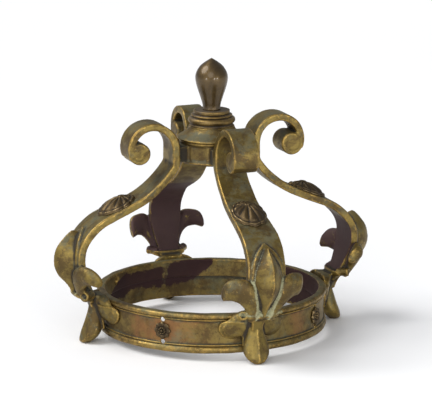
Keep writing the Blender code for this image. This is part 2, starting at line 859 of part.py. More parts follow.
def finial_profile(bottom):
    """The bud: rows of (share of its radius above the neck's, share of its height)."""
    rows = [
        (0.35, 0.850),
        (0.80, 0.745),
        (1.00, 0.640),
        (0.93, 0.530),
        (0.65, 0.385),
        (0.30, 0.240),
        (0.00, 0.090),
        (0.00, 0.000),
    ]
    swell = FINIAL_RADIUS - FINIAL_NECK_RADIUS
    profile = [(0.0, bottom + FINIAL_HEIGHT)]
    profile.append((0.31 * FINIAL_RADIUS, bottom + 0.930 * FINIAL_HEIGHT))
    profile += [(FINIAL_NECK_RADIUS + out * swell, bottom + up * FINIAL_HEIGHT) for out, up in rows]
    return profile + [(0.0, bottom)]


def build_hub_top(parts, hub):
    cap_bottom = DRUM_TOP + CONTACT_GAP
    collar_bottom = cap_bottom + CAP_HEIGHT + CONTACT_GAP
    finial_bottom = collar_bottom + COLLAR_HEIGHT + CONTACT_GAP
    stack = [
        ("hub_cap", cap_profile(cap_bottom), brass("cap_brass", (0.185, 0.120, 0.048), 0.46)),
        ("hub_collar", collar_profile(collar_bottom), brass("collar_brass", (0.130, 0.090, 0.045), 0.42)),
        ("finial", finial_profile(finial_bottom), brass("finial_bronze", (0.125, 0.080, 0.035), 0.30)),
    ]
    for name, profile, material in stack:
        piece = screw(name, profile, TURNED_SEGMENTS, parts, material)
        piece.parent = hub


def main():
    clear_scene()
    parts = new_collection("ceremonial_crown")
    tools = new_collection("joining_and_cutting_shapes")
    hub = bpy.data.objects.new("crown_axis", None)
    parts.objects.link(hub)
    build_arches(parts, tools, hub)
    build_band(parts, tools, hub)
    build_drum(parts, tools, hub)
    build_hub_top(parts, hub)
    bpy.context.view_layer.update()


main()
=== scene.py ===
import math

import bmesh
import bpy
import numpy as np
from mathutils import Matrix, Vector, noise


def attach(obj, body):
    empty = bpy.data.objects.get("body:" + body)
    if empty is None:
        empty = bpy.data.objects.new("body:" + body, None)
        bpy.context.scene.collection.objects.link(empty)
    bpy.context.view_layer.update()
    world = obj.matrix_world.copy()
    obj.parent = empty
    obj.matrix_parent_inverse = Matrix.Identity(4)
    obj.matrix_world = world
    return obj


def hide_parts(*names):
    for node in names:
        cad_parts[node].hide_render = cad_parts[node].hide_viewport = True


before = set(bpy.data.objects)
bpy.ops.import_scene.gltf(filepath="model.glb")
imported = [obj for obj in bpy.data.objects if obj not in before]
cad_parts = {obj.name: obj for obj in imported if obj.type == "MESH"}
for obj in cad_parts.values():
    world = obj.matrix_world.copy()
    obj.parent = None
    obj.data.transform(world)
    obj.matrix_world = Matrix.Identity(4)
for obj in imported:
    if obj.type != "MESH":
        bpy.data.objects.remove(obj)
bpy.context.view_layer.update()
print("pieces in the packed part:", len(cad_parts))

# %% [markdown]
# ## Sizes
# The sizes are the ones that the solids have, in metres. Only the drum's panels are a
# little larger and shallower, and the eyes of the scrolls are lifted. The band's top and
# field follow from its own sizes, so each number is written once.
# %% Band sizes
GAP = 0.0003
BAND_OUTER_RADIUS = 0.1000
BAND_DEPTH = 0.0076
BAND_HEIGHT = 0.0344
BAND_BOTTOM = 0.0063
TOP_RIM_HEIGHT = 0.0046
BOTTOM_RIM_HEIGHT = 0.0062
FILLET_HEIGHT = 0.0018
FILLET_RECESS = 0.0011
FIELD_RECESS = 0.0024
INNER_STEP = 0.0018
PIN_HOLE_DIAMETER = 0.0036
PIN_HOLE_SPACING = 0.0194
ROSETTE_DIAMETER = 0.0154
ROSETTE_HEIGHT = 0.0032

BAND_TOP = BAND_BOTTOM + BAND_HEIGHT
BAND_INNER_RADIUS = BAND_OUTER_RADIUS - BAND_DEPTH
FIELD_RADIUS = BAND_OUTER_RADIUS - FIELD_RECESS
FIELD_TOP = BAND_TOP - TOP_RIM_HEIGHT - FILLET_HEIGHT
FIELD_BOTTOM = BAND_BOTTOM + BOTTOM_RIM_HEIGHT + FILLET_HEIGHT
FIELD_MIDDLE = (FIELD_TOP + FIELD_BOTTOM) / 2
print(f"band {2000 * BAND_OUTER_RADIUS:.0f} mm across, top at {1000 * BAND_TOP:.1f} mm")

# %% [markdown]
# The arches are straps with a fleur-de-lis low down and a scroll at the head. The strap's
# width changes along it, so it is a table of shares of the way to the hub and widths.
# %% Arch sizes
STRAP_THICKNESS = 0.0064
STRAP_WIDTHS = [
    (0.00, 0.0220),
    (0.10, 0.0220),
    (0.24, 0.0345),
    (0.40, 0.0345),
    (0.70, 0.0305),
    (1.00, 0.0275),
]
STRAP_WIDTH_SCROLL = 0.0235
OUTER_EASE = 0.0012
INNER_EASE = 0.0006
SCROLL_START_RADIUS = 0.0215
SCROLL_END_RADIUS = 0.0180
SCROLL_TURN_DEGREES = 202
SCROLL_EYE_RADIUS = 0.0093
SCROLL_EYE_INSET = 0.0006
SCROLL_EYE_LIFT = 0.0009
FLEUR_START = 0.0150
FLEUR_LENGTH = 0.0610
CENTRE_PETAL_WIDTH = 0.0230
CENTRE_PETAL_HEIGHT = 0.0203
SIDE_PETAL_SPAN = 0.0350
SIDE_PETAL_THICKNESS = 0.0090
print(f"strap {1000 * STRAP_THICKNESS:.1f} mm thick, fleur {1000 * FLEUR_LENGTH:.0f} mm long")

# %% [markdown]
# A tie crosses the band's upper rim. The foot hangs under it to the floor, and the root
# holds both to the band. A boss is the shell that covers the middle of the strap.
# %% Tie, foot and boss sizes
TIE_WIDTH = 0.0315
TIE_DEPTH = 0.0175
TIE_HEIGHT = 0.0095
TIE_REACH = 0.0265
TIE_CURL_RADIUS = 0.0037
TIE_CURL_DEPTH = 0.0110
TIE_BOTTOM = BAND_TOP - 0.45 * TIE_HEIGHT
TIE_TOP = TIE_BOTTOM + TIE_HEIGHT
FOOT_WIDTH = 0.0230
FOOT_DEPTH = 0.0212
ROOT_WIDTH = 0.0210
ROOT_DEPTH = 0.0120
ROOT_RADIUS = BAND_OUTER_RADIUS + GAP
BOSS_LENGTH = 0.0350
BOSS_WIDTH = 0.0300
BOSS_HEIGHT = 0.0074
BOSS_FLUTES = 12
print(f"foot {1000 * FOOT_WIDTH:.0f} mm wide, boss {1000 * BOSS_LENGTH:.0f} mm long")

# %% [markdown]
# The hub is a stack: drum, cap, collar, finial. The arches' necks lie flat on the drum's
# four pads, so the pads' radius also places the straps.
# %% Hub sizes
HUB_PAD_RADIUS = 0.0331
HUB_PAD_WIDTH = 0.0220
DRUM_RADIUS = 0.0268
DRUM_HEIGHT = 0.0198
DRUM_BOTTOM = 0.1515
DRUM_TOP = DRUM_BOTTOM + DRUM_HEIGHT
DRUM_FILLET_HEIGHT = 0.0017
DRUM_FILLET_REACH = 0.0010
PANEL_WIDTH = 0.0182
PANEL_HEIGHT = 0.0128
PANEL_RECESS = 0.0012
CAP_RIM_RADIUS = 0.0298
CAP_TOP_RADIUS = 0.0196
CAP_HEIGHT = 0.0112
COLLAR_RADIUS = 0.0204
COLLAR_STEP_RADIUS = 0.0178
WASHER_RADIUS = 0.0157
COLLAR_HEIGHT = 0.0134
FINIAL_RADIUS = 0.0140
FINIAL_NECK_RADIUS = 0.0078
FINIAL_HEIGHT = 0.0444
NECK_RADIUS = HUB_PAD_RADIUS + GAP + STRAP_THICKNESS / 2
NECK_BOTTOM = DRUM_BOTTOM + 0.15 * DRUM_HEIGHT
NECK_TOP = DRUM_BOTTOM + 0.80 * DRUM_HEIGHT
print(f"the arches seat {1000 * NECK_RADIUS:.1f} mm from the axis")

# %% [markdown]
# ## How the four arches differ
# The arches come from one pattern, but each was filed and bent by hand. The table holds
# what differs: the angle on plan, shares of the common reach, strap width, scroll size and
# fleur length, the boss's place, how far each side petal hangs lower, a sideways lean, the
# size of each rolled end of the tie, and how far the foot reaches out.
# %% Traits of the arches
COMMON_ARCH = {
    "angle": 0,
    "reach": 1.0,
    "width": 1.0,
    "scroll": 1.0,
    "fleur": 1.0,
    "boss": 0.598,
    "drops": {1: (0.0, 0.0), -1: (0.0, 0.0)},
    "sway": 0.0,
    "belly": 0.0,
    "curls": {1: 1.0, -1: 1.0},
    "foot": 1.0,
}
ARCHES = {
    "front": {
        "angle": -90,
        "width": 0.96,
        "boss": 0.620,
        "drops": {1: (0.0, 0.06), -1: (0.02, 0.05)},
        "sway": 0.0026,
        "belly": 0.0014,
        "curls": {1: 0.55, -1: 1.08},
        "foot": 0.84,
    },
    "right": {
        "angle": 0,
        "reach": 1.024,
        "scroll": 1.06,
        "fleur": 0.90,
        "boss": 0.580,
        "drops": {1: (0.0, 0.045), -1: (0.05, 0.03)},
    },
    "back": {
        "angle": 90,
        "width": 0.85,
        "drops": {1: (0.015, 0.03), -1: (0.0, -0.05)},
    },
    "left": {
        "angle": 180,
        "reach": 0.978,
        "fleur": 0.95,
        "boss": 0.580,
        "drops": {1: (0.075, 0.07), -1: (0.04, 0.05)},
        "curls": {1: 1.22, -1: 1.0},
    },
}
# Each row is a share of the way out to the band and a share of the way up to the hub.
STRAP_ROUTE = [
    (1.142, -0.094),
    (1.210, 0.003),
    (1.308, 0.117),
    (1.388, 0.258),
    (1.383, 0.381),
    (1.287, 0.482),
    (1.103, 0.574),
    (0.882, 0.631),
    (0.653, 0.684),
    (0.432, 0.745),
    (0.235, 0.829),
    (0.077, 0.921),
]
print("arches:", ", ".join(ARCHES))

# %% [markdown]
# ## Smooth rows
# A carver's shapes swell and thin without corners. A few measured rows are enough to
# describe one, if the rows between them lie on a smooth line. A Catmull-Rom line is used
# because it passes through every row that was measured.
# %% Rows on a smooth line
def smooth_rows(rows, steps, beyond=None):
    """Rows of numbers with steps rows from each one to the next, on a smooth line."""
    rows = np.array(rows, float)
    last = 2 * rows[-1] - rows[-2] if beyond is None else np.array(beyond, float)
    rows = np.vstack([2 * rows[0] - rows[1], rows, last])
    made = []
    for a, b, c, d in zip(rows, rows[1:], rows[2:], rows[3:]):
        for x in np.arange(steps) / steps:
            bend = (2 * a - 5 * b + 4 * c - d) * x ** 2 + (3 * b - a - 3 * c + d) * x ** 3
            made.append(0.5 * (2 * b + (c - a) * x + bend))
    return np.array(made + [rows[-2]])


def ease(low, high, value):
    """A share that goes softly from 0 at low to 1 at high."""
    share = np.clip((value - low) / (high - low), 0, 1)
    return share * share * (3 - 2 * share)


print("three rows become", len(smooth_rows([(0,), (1,), (4,)], 5)))

# %% [markdown]
# ## The strap's path
# Each arch is a flat strap of brass, bent in one plane: out over the fleur, in to the hub,
# and back on itself in a scroll. Everything on it is placed by the distance along the
# strap, the distance to the side and the rise above its middle. A carving that is written
# that way follows the bend by itself.
# %% The line in the arch's plane
def scroll_centre(size):
    return np.array([NECK_RADIUS + size * SCROLL_START_RADIUS, NECK_TOP])


def strap_line(reach, size):
    """The middle of the strap as rows of (radius, height), from the foot to the scroll."""
    out = (BAND_OUTER_RADIUS - NECK_RADIUS) * reach
    up = NECK_BOTTOM - BAND_TOP
    route = [(NECK_RADIUS + u * out, BAND_TOP + v * up) for u, v in STRAP_ROUTE]
    beyond = (route[-1][0], 2 * NECK_BOTTOM - route[-1][1])
    lower = smooth_rows(route + [(NECK_RADIUS, NECK_BOTTOM)], 12, beyond)
    share = np.linspace(0, 1, 90)[:, None]
    span = SCROLL_START_RADIUS - SCROLL_END_RADIUS
    radius = size * (SCROLL_END_RADIUS + span * (1 - share) ** 2)
    angle = math.pi - share * math.radians(SCROLL_TURN_DEGREES)
    scroll = scroll_centre(size) + radius * np.hstack([np.cos(angle), np.sin(angle)])
    seat = [(NECK_RADIUS, (NECK_BOTTOM + NECK_TOP) / 2)]
    return np.vstack([lower, seat, scroll])


print("points on the line:", len(strap_line(1.0, 1.0)))

# %% [markdown]
# A path object keeps the line as 500 even steps. It turns strap measures into places, and
# finds the strap measures of a place again, which the paint needs later.
# %% Places along the strap
class StrapPath:
    """Turns (distance, side, rise) into places and places into (distance, side, rise)."""

    def __init__(self, traits):
        self.traits = {**COMMON_ARCH, **traits}
        line = strap_line(self.traits["reach"], self.traits["scroll"])
        run = np.concatenate([[0], np.cumsum(np.linalg.norm(np.diff(line, axis=0), axis=1))])
        self.length = run[-1]
        self.run = np.linspace(0, self.length, 500)
        self.line = np.column_stack([np.interp(self.run, run, line[:, k]) for k in (0, 1)])
        self.neck = self.run[np.argmax(self.line[:, 1] >= NECK_TOP)]
        self.fleur = FLEUR_LENGTH * self.traits["fleur"]

    def centre(self, distance):
        return np.stack([np.interp(distance, self.run, self.line[:, k]) for k in (0, 1)], -1)

    def outward(self, distance):
        reach = STRAP_THICKNESS / 2
        along = self.centre(distance + reach) - self.centre(distance - reach)
        across = np.stack([along[..., 1], -along[..., 0]], -1)
        return across / np.linalg.norm(across, axis=-1, keepdims=True)

    def lean(self, distance):
        share = np.clip((distance - FLEUR_START) / FLEUR_LENGTH, 0, 1)
        bulge = np.sin(math.pi * np.clip(distance / self.neck, 0, 1)) ** 2
        return self.traits["sway"] * share + self.traits["belly"] * bulge

    def place(self, distance, side, rise):
        distance, side, rise = np.broadcast_arrays(*map(np.asarray, (distance, side, rise)))
        point = self.centre(distance) + rise[..., None] * self.outward(distance)
        return np.stack([point[..., 0], side + self.lean(distance), point[..., 1]], -1)

    def half_width(self, distance):
        share = np.interp(distance / self.neck, *zip(*STRAP_WIDTHS))
        past = np.clip(3 * (distance - self.neck) / (self.length - self.neck), 0, 1)
        narrow = share + (STRAP_WIDTH_SCROLL - STRAP_WIDTHS[-1][1]) * past
        return self.traits["width"] * narrow / 2

    def locate(self, points):
        """The distance, side and rise of points near the strap."""
        nearest = np.empty(len(points), int)
        for start in range(0, len(points), 4000):
            block = points[start:start + 4000, None, ::2] - self.line[None]
            nearest[start:start + 4000] = np.argmin((block ** 2).sum(2), 1)
        distance = self.run[nearest]
        offset = points[:, ::2] - self.line[nearest]
        rise = (offset * self.outward(distance)).sum(1)
        return distance, points[:, 1] - self.lean(distance), rise


PATHS = {name: StrapPath(traits) for name, traits in ARCHES.items()}
for name, path in PATHS.items():
    print(f"{name} strap is {1000 * path.length:.0f} mm long")

# %% [markdown]
# ## Skins
# Every carved form here is a stack of closed rings with a skin over them, which is how a
# clay form grows in coils. One function makes the faces for any stack of rings.
# %% A skin over rings
def skin(rings):
    """Points and faces of a closed skin over rings of equally many points."""
    rings = np.array(rings, float)
    rows, around = rings.shape[:2]
    faces = []
    for row in range(rows - 1):
        low, high = row * around, (row + 1) * around
        for step in range(around):
            after = (step + 1) % around
            faces.append((low + step, low + after, high + after, high + step))
    faces.append(tuple(range(around)))
    faces.append(tuple(range((rows - 1) * around, rows * around)))
    return rings.reshape(-1, 3), faces


print("a box of two rings has", len(skin(np.zeros((2, 4, 3)))[1]), "faces")

# %% [markdown]
# ### The strap
# The strap was cast flat and its outer edges were filed round, so its section is a
# rectangle with two rounder corners outside and two sharper ones inside. Its lowest part
# narrows, because there it only has to reach into the root.
# %% Strap skin
STRAP_END_SHARE = 0.48
STRAP_END_FROM = 0.004
STRAP_END_TO = 0.019
STRAP_RINGS = 220


def strap_section(half):
    """The section's (side, rise) points at a half width."""
    thick = STRAP_THICKNESS / 2
    points = []
    for quarter, (x, y, corner) in enumerate([
        (1, 1, OUTER_EASE), (-1, 1, OUTER_EASE), (-1, -1, INNER_EASE), (1, -1, INNER_EASE),
    ]):
        for step in range(5):
            angle = (quarter + step / 4) * math.pi / 2
            points.append((
                x * (half - corner) + corner * math.cos(angle),
                y * (thick - corner) + corner * math.sin(angle),
            ))
    return np.array(points)


def strap_skin(path):
    rings = []
    for distance in np.linspace(0, path.length, STRAP_RINGS):
        grown = ease(STRAP_END_FROM, STRAP_END_TO, distance)
        taper = STRAP_END_SHARE + (1 - STRAP_END_SHARE) * grown
        section = strap_section(taper * path.half_width(distance))
        rings.append(path.place(distance, section[:, 0], section[:, 1]))
    return skin(rings)


print("strap rings of", len(strap_section(0.01)), "points")

# %% [markdown]
# ### The scroll's eye
# The strap's end was forged into a roll. From the side it shows as a comma: a groove winds
# in from the notch where the roll meets the strap. The eye is turned from a profile, and
# its two side faces sink along that winding line.
# %% Scroll eye skin
ROLL_NOTCH_DEGREES = 62
ROLL_GROOVE_DEPTH = 0.0013
ROLL_GROOVE_WIDTH = 0.0009
ROLL_CORE_SHARE = 0.34
ROLL_EDGE = 0.0010
ROLL_POINTS = 96
ROLL_FACE_SHARES = np.linspace(0.04, 0.90, 22)


def roll_depth(radius, angle, full_radius):
    """How deep the side face sinks at a radius and angle, along the winding groove."""
    turn = (math.radians(ROLL_NOTCH_DEGREES) - angle) % (2 * math.pi) / (2 * math.pi)
    line = full_radius * (1 - (1 - ROLL_CORE_SHARE) * turn ** 0.85)
    away = (radius - line) / ROLL_GROOVE_WIDTH
    return ROLL_GROOVE_DEPTH * math.exp(-away ** 2) * max(0.0, 1 - 1.25 * turn)


def eye_skin(path):
    size = path.traits["scroll"]
    radius = size * SCROLL_EYE_RADIUS
    half = float(path.half_width(path.length)) + GAP
    inside = path.centre(path.length) - scroll_centre(size)
    shift = inside * (1 + (STRAP_THICKNESS / 2 - radius) / np.linalg.norm(inside))
    middle = scroll_centre(size) + shift + np.array([-SCROLL_EYE_INSET, SCROLL_EYE_LIFT])
    profile = [(radius * share, -half) for share in ROLL_FACE_SHARES]
    profile += [(radius, -half + ROLL_EDGE), (radius, half - ROLL_EDGE)]
    profile += [(radius * share, half) for share in ROLL_FACE_SHARES[::-1]]
    rings = []
    for reach, side in profile:
        ring = []
        for angle in np.linspace(0, 2 * math.pi, ROLL_POINTS, endpoint=False):
            sunk = side
            if abs(side) == half:
                sunk -= math.copysign(roll_depth(reach, angle, radius), side)
            x = middle[0] + reach * math.cos(angle)
            z = middle[1] + reach * math.sin(angle)
            ring.append((x, sunk + path.traits["sway"], z))
        rings.append(ring)
    return skin(rings)


print(f"eye {2000 * SCROLL_EYE_RADIUS:.1f} mm across")

# %% [markdown]
# ### The fleur-de-lis
# The centre petal is an almond with a sharp ridge. It lies on a flatter leaf that shows as
# a border round it. Both follow the strap. The two side petals grow out of the stem, swell
# and hook down, and their section is a plump lens.
# %% Petal skins
# A row is a share along the fleur, then shares of the petal's half width and height.
PETAL_ROWS = [
    (0.00, 0.34, 0.40),
    (0.10, 0.36, 0.58),
    (0.26, 0.58, 0.66),
    (0.42, 0.88, 0.90),
    (0.55, 1.00, 1.00),
    (0.68, 0.90, 0.92),
    (0.79, 0.60, 0.74),
    (0.87, 0.34, 0.62),
    (0.92, 0.16, 0.52),
    (0.945, 0.04, 0.28),
]
BORDER_ROWS = [
    (0.00, 0.52),
    (0.14, 0.56),
    (0.30, 0.80),
    (0.46, 1.10),
    (0.60, 1.22),
    (0.75, 1.12),
    (0.88, 0.76),
    (0.97, 0.36),
    (1.03, 0.08),
]
BORDER_HEIGHT = 0.0018


def centre_petal_skin(path):
    sides = np.linspace(1, -1, 25)
    rises = 0.34 + 0.66 * (1 - 0.55 * abs(sides) - 0.45 * abs(sides) ** 2.5)
    sides = np.concatenate([[1], sides, [-1]])
    rises = np.concatenate([[0], rises, [0]])
    rings = []
    for along, wide, high in smooth_rows(PETAL_ROWS, 6):
        half = wide * CENTRE_PETAL_WIDTH / 2
        distance = FLEUR_START + along * path.fleur
        rings.append(path.place(distance, sides * half, rises * high * CENTRE_PETAL_HEIGHT))
    return skin(rings)


def border_skin(path):
    crest = STRAP_THICKNESS / 2 + BORDER_HEIGHT
    section = np.array([(1, 0), (1, 0.86), (0.93, 1), (0, 1), (-0.93, 1), (-1, 0.86), (-1, 0)])
    rings = []
    for along, wide in smooth_rows(BORDER_ROWS, 6):
        half = wide * CENTRE_PETAL_WIDTH / 2
        distance = FLEUR_START + along * path.fleur
        rings.append(path.place(distance, section[:, 0] * half, section[:, 1] * crest))
    return skin(rings)


# A row cuts across a side petal: how far out and up its upper edge is, the same for its
# lower edge, how far its middle stands off the strap, and how thick it is.
SIDE_PETAL_ROWS = [
    (0.06, 0.02, 0.31, -0.02, 0.13, 0.95),
    (0.13, 0.26, 0.41, 0.15, 0.14, 1.10),
    (0.28, 0.48, 0.50, 0.24, 0.13, 1.20),
    (0.52, 0.60, 0.62, 0.30, 0.07, 1.25),
    (0.77, 0.61, 0.72, 0.31, -0.02, 1.35),
    (0.94, 0.57, 0.80, 0.31, -0.08, 1.40),
    (1.00, 0.47, 0.88, 0.29, -0.14, 1.20),
    (1.00, 0.36, 0.95, 0.27, -0.175, 0.75),
]


def side_petal_skin(path, side):
    angle = np.linspace(0, 2 * math.pi, 28, endpoint=False)
    across = 0.5 - 0.5 * np.cos(angle)
    lens = np.where(angle < math.pi, 0.53, 0.43) * np.sin(angle)
    top_drop, low_drop = path.traits["drops"][side]
    rings = []
    for top_out, top_up, low_out, low_up, middle, thick in smooth_rows(SIDE_PETAL_ROWS, 6):
        out = top_out + (low_out - top_out) * across
        drop = (top_drop + (low_drop - top_drop) * across) * np.minimum(1, 2 * out)
        up = top_up + (low_up - top_up) * across - drop
        height = middle * SIDE_PETAL_SPAN + lens * thick * SIDE_PETAL_THICKNESS
        distance = FLEUR_START + up * path.fleur
        rings.append(path.place(distance, side * out * SIDE_PETAL_SPAN, height))
    return skin(rings)


print("petal rows:", len(smooth_rows(PETAL_ROWS, 6)))

# %% [markdown]
# ### Tie, foot and root
# Below the fleur a tie binds the petals: a flared collar with a rolled end on each side.
# Under it hangs the bud that the crown stands on. These forms are stacks of level ovals.
# A row gives the height, the near and far side, the width and, on the foot, the ridge.
# %% Level ovals
RIDGE_WIDTH = 0.16
RIDGE_FLANK = 0.42
RIDGE_FLANK_WIDTH = 0.2
FOOT_RIDGE = 0.0008
TIE_POINTS, TIE_SQUARENESS = 48, 0.72
FOOT_POINTS, FOOT_SQUARENESS = 56, 0.95
ROOT_POINTS, ROOT_SQUARENESS = 24, 0.9
ROOT_DEPTH_SHARES = (0.24, 0.72, 1.0)


def oval(height, near, far, half_width, points, squareness=1.0, ridge=0.0):
    """A level ring between two radii, with a small upright ridge on its far side."""
    angle = 2 * math.pi * (np.arange(points) + 0.5) / points
    angle = np.where(angle > math.pi, angle - 2 * math.pi, angle)
    cosine = np.sign(np.cos(angle)) * abs(np.cos(angle)) ** squareness
    sine = np.sign(np.sin(angle)) * abs(np.sin(angle)) ** squareness
    crest = np.exp(-(angle / RIDGE_WIDTH) ** 2)
    flanks = 0.5 * np.exp(-((abs(angle) - RIDGE_FLANK) / RIDGE_FLANK_WIDTH) ** 2)
    radius = (near + far) / 2 + (far - near) / 2 * cosine + ridge * (crest - flanks)
    return np.stack([radius, half_width * sine, np.full(points, height)], -1)


def tie_skin():
    rows = [
        (0.00, 0.26, 0.46),
        (0.22, 0.38, 0.52),
        (0.42, 0.60, 0.66),
        (0.57, 0.88, 0.90),
        (0.70, 1.00, 1.00),
        (0.90, 1.00, 1.00),
        (1.00, 0.95, 0.96),
    ]
    far = BAND_OUTER_RADIUS + TIE_REACH
    near = far - TIE_DEPTH
    rings = []
    for up, reach, wide in smooth_rows(rows, 4):
        height = TIE_BOTTOM + up * TIE_HEIGHT
        edge = near + reach * TIE_DEPTH
        half = wide * TIE_WIDTH / 2
        rings.append(oval(height, near, edge, half, TIE_POINTS, TIE_SQUARENESS))
    for up, inset in ((1.00, 0.002), (0.84, 0.003)):
        height = TIE_BOTTOM + up * TIE_HEIGHT
        half = TIE_WIDTH / 2 - inset
        rings.append(oval(height, near + inset, far - inset, half, TIE_POINTS, TIE_SQUARENESS))
    return skin(rings)


def foot_skin(path):
    rows = [
        (1.00, 0.03, 0.62, 0.60, 0.0),
        (0.84, 0.03, 0.56, 0.57, 0.3),
        (0.68, 0.03, 0.60, 0.60, 0.6),
        (0.52, 0.04, 0.69, 0.76, 0.9),
        (0.37, 0.04, 0.78, 0.94, 1.0),
        (0.23, 0.12, 0.88, 0.98, 1.0),
        (0.12, 0.28, 0.95, 0.80, 0.8),
        (0.04, 0.46, 0.96, 0.50, 0.4),
        (0.00, 0.52, 0.84, 0.20, 0.0),
    ]
    rings = []
    for up, near, far, wide, ridge in smooth_rows(rows, 6):
        rings.append(oval(
            up * BAND_TOP,
            ROOT_RADIUS + near * FOOT_DEPTH,
            ROOT_RADIUS + far * FOOT_DEPTH * (1 - (1 - path.traits["foot"]) * (1 - up)),
            wide * FOOT_WIDTH / 2,
            FOOT_POINTS,
            FOOT_SQUARENESS,
            ridge * FOOT_RIDGE,
        ))
    return skin(rings)


def root_skin():
    bottom = BAND_BOTTOM + 0.20 * BAND_HEIGHT
    half = 0.48 * ROOT_WIDTH
    top = TIE_BOTTOM + 0.7 * TIE_HEIGHT
    rings = []
    for height, share in zip((bottom, FIELD_TOP, top), ROOT_DEPTH_SHARES):
        far = ROOT_RADIUS + share * ROOT_DEPTH
        rings.append(oval(height, ROOT_RADIUS, far, half, ROOT_POINTS, ROOT_SQUARENESS))
    return skin(rings)


print("tie", round(1000 * TIE_HEIGHT, 1), "mm high")

# %% [markdown]
# The tie's ends were rolled up. A small turned profile with a sunk middle gives the ring
# and the dark hollow. Its axis is turned outward, so the hollow shows from the front.
# %% Rolled ends of the tie
CURL_HOLLOW_DEPTH = 0.0032
CURL_TURN_DEGREES = 38


def curl_skin(side, size):
    """A small roll that points out and to the side, hollow at its outer end."""
    radius, half = size * TIE_CURL_RADIUS, TIE_CURL_DEPTH / 2
    profile = [(0.06, -half), (0.8, -half), (0.8, -half + 0.0005), (1.0, half - 0.0008)]
    profile += [(0.92, half), (0.62, half), (0.50, half - 0.0008)]
    profile += [(0.42, half - CURL_HOLLOW_DEPTH), (0.06, half - CURL_HOLLOW_DEPTH)]
    middle = BAND_OUTER_RADIUS + TIE_REACH - TIE_DEPTH / 2
    out = side * (TIE_WIDTH / 2 - 0.55 * radius)
    height = TIE_TOP - radius / 6
    turn = side * math.radians(CURL_TURN_DEGREES)
    angle = np.linspace(0, 2 * math.pi, 28, endpoint=False)
    rings = []
    for share, along in profile:
        across = share * radius * np.cos(angle)
        ring = [middle + along * math.cos(turn) - across * math.sin(turn)]
        ring.append(out + along * math.sin(turn) + across * math.cos(turn))
        ring.append(height + share * radius * np.sin(angle))
        rings.append(np.stack(ring, -1))
    return skin(rings)


print("curl hollow", 1000 * CURL_HOLLOW_DEPTH, "mm deep")

# %% [markdown]
# ### Leaves on the band
# Beside each foot a rounded leaf droops from the tie, over the rim and onto the band's
# field, and hides the joint. Its outline is a closed smooth line bent to the band. The skin
# swells from that line, highest where the leaf leaves the tie, with a line sunk inside its
# lower edge.
# %% Leaf skins
# The outline's points are the distance round the band and the height, in millimetres. The
# back follows the band's mouldings, and the rise is a product of two slopes.
LEAF_OUTLINE_MM = [
    (6.5, 43.5), (12.5, 42.8), (16.8, 40.2), (19.4, 37.4), (22.6, 35.4), (26.0, 34.0),
    (28.2, 31.8), (29.0, 28.4), (27.6, 24.2), (24.0, 20.8), (18.6, 19.0), (12.6, 19.4),
    (7.0, 21.4), (4.0, 27.0), (4.0, 36.0),
]
LEAF_MIDDLE_MM = (14.0, 29.5)
LEAF_BACK_MM = [(33.9, 97.9), (34.6, 99.3), (36.0, 99.3), (36.6, 100.3)]
LEAF_RISE_MM = [(19.0, 4.4), (24.0, 6.2), (30.0, 7.8), (34.0, 8.2), (36.6, 5.9), (43.5, 8.2)]
LEAF_SLOPE_MM = [(4, 1.36), (12, 1.02), (20, 0.68), (29, 0.50)]
LEAF_LINE_DEPTH = 0.0009
LEAF_LINE_SHARE = 0.84
LEAF_LINE_WIDTH = 0.05


def on_band(side, height, rise, back=FIELD_RADIUS + GAP):
    """Places on the band at +X, from the distance round its field."""
    angle = side / FIELD_RADIUS
    radius = back + rise
    return np.stack([radius * np.cos(angle), radius * np.sin(angle), height], -1)


def dome(points, rings, place):
    """A closed dome from a function of angle and share of the radius, flat at its back."""
    angle = np.linspace(0, 2 * math.pi, points, endpoint=False)
    front = [place(angle, share, True) for share in np.linspace(0.02, 1, rings)]
    back = [place(angle, share, False) for share in (1.0, 0.5, 0.02)]
    return skin(front + back)


def leaf_skin(side):
    start = LEAF_OUTLINE_MM[-1:] + LEAF_OUTLINE_MM + LEAF_OUTLINE_MM[:2]
    outline = smooth_rows(start, 6)[6:-6] / 1000
    middle = np.array(LEAF_MIDDLE_MM) / 1000

    def place(angle, share, front):
        across, height = (middle + share * (outline - middle)).T
        back = np.interp(1000 * height, *zip(*LEAF_BACK_MM)) / 1000
        rise = np.zeros(len(outline))
        if front:
            rise += np.interp(1000 * height, *zip(*LEAF_RISE_MM)) / 1000
            rise *= np.interp(1000 * across, *zip(*LEAF_SLOPE_MM)) * (1 - share ** 5) ** 0.5
            lower = ease(0, 0.006, middle[1] - outline[:, 1])
            lower += ease(0.012, 0.014, outline[:, 0] - middle[0])
            line = math.exp(-((share - LEAF_LINE_SHARE) / LEAF_LINE_WIDTH) ** 2)
            rise -= LEAF_LINE_DEPTH * line * np.minimum(1, lower)
        return on_band(side * across, height, rise, back)

    return dome(len(outline), 30, place)


print("leaves reach", LEAF_OUTLINE_MM[7][0], "mm round the band")

# %% [markdown]
# ## Melting skins into one casting
# A casting has no seams: where the foot meets the tie the metal runs round the corner. A
# voxel remesh does the same to overlapping skins. Its cells are 0.74 mm, about the smallest
# detail that a sand mould takes from a pattern, and a light smoothing rounds them off.
# %% Melt, smooth and measure
ARCH_CELL = 0.00074


def mesh_from(name, skins):
    """One mesh from several closed skins, each facing outward."""
    work = bmesh.new()
    for points, faces in skins:
        corners = [work.verts.new(point) for point in points]
        for face in faces:
            work.faces.new([corners[index] for index in face])
    bmesh.ops.recalc_face_normals(work, faces=work.faces)
    mesh = bpy.data.meshes.new(name)
    work.to_mesh(mesh)
    work.free()
    return mesh


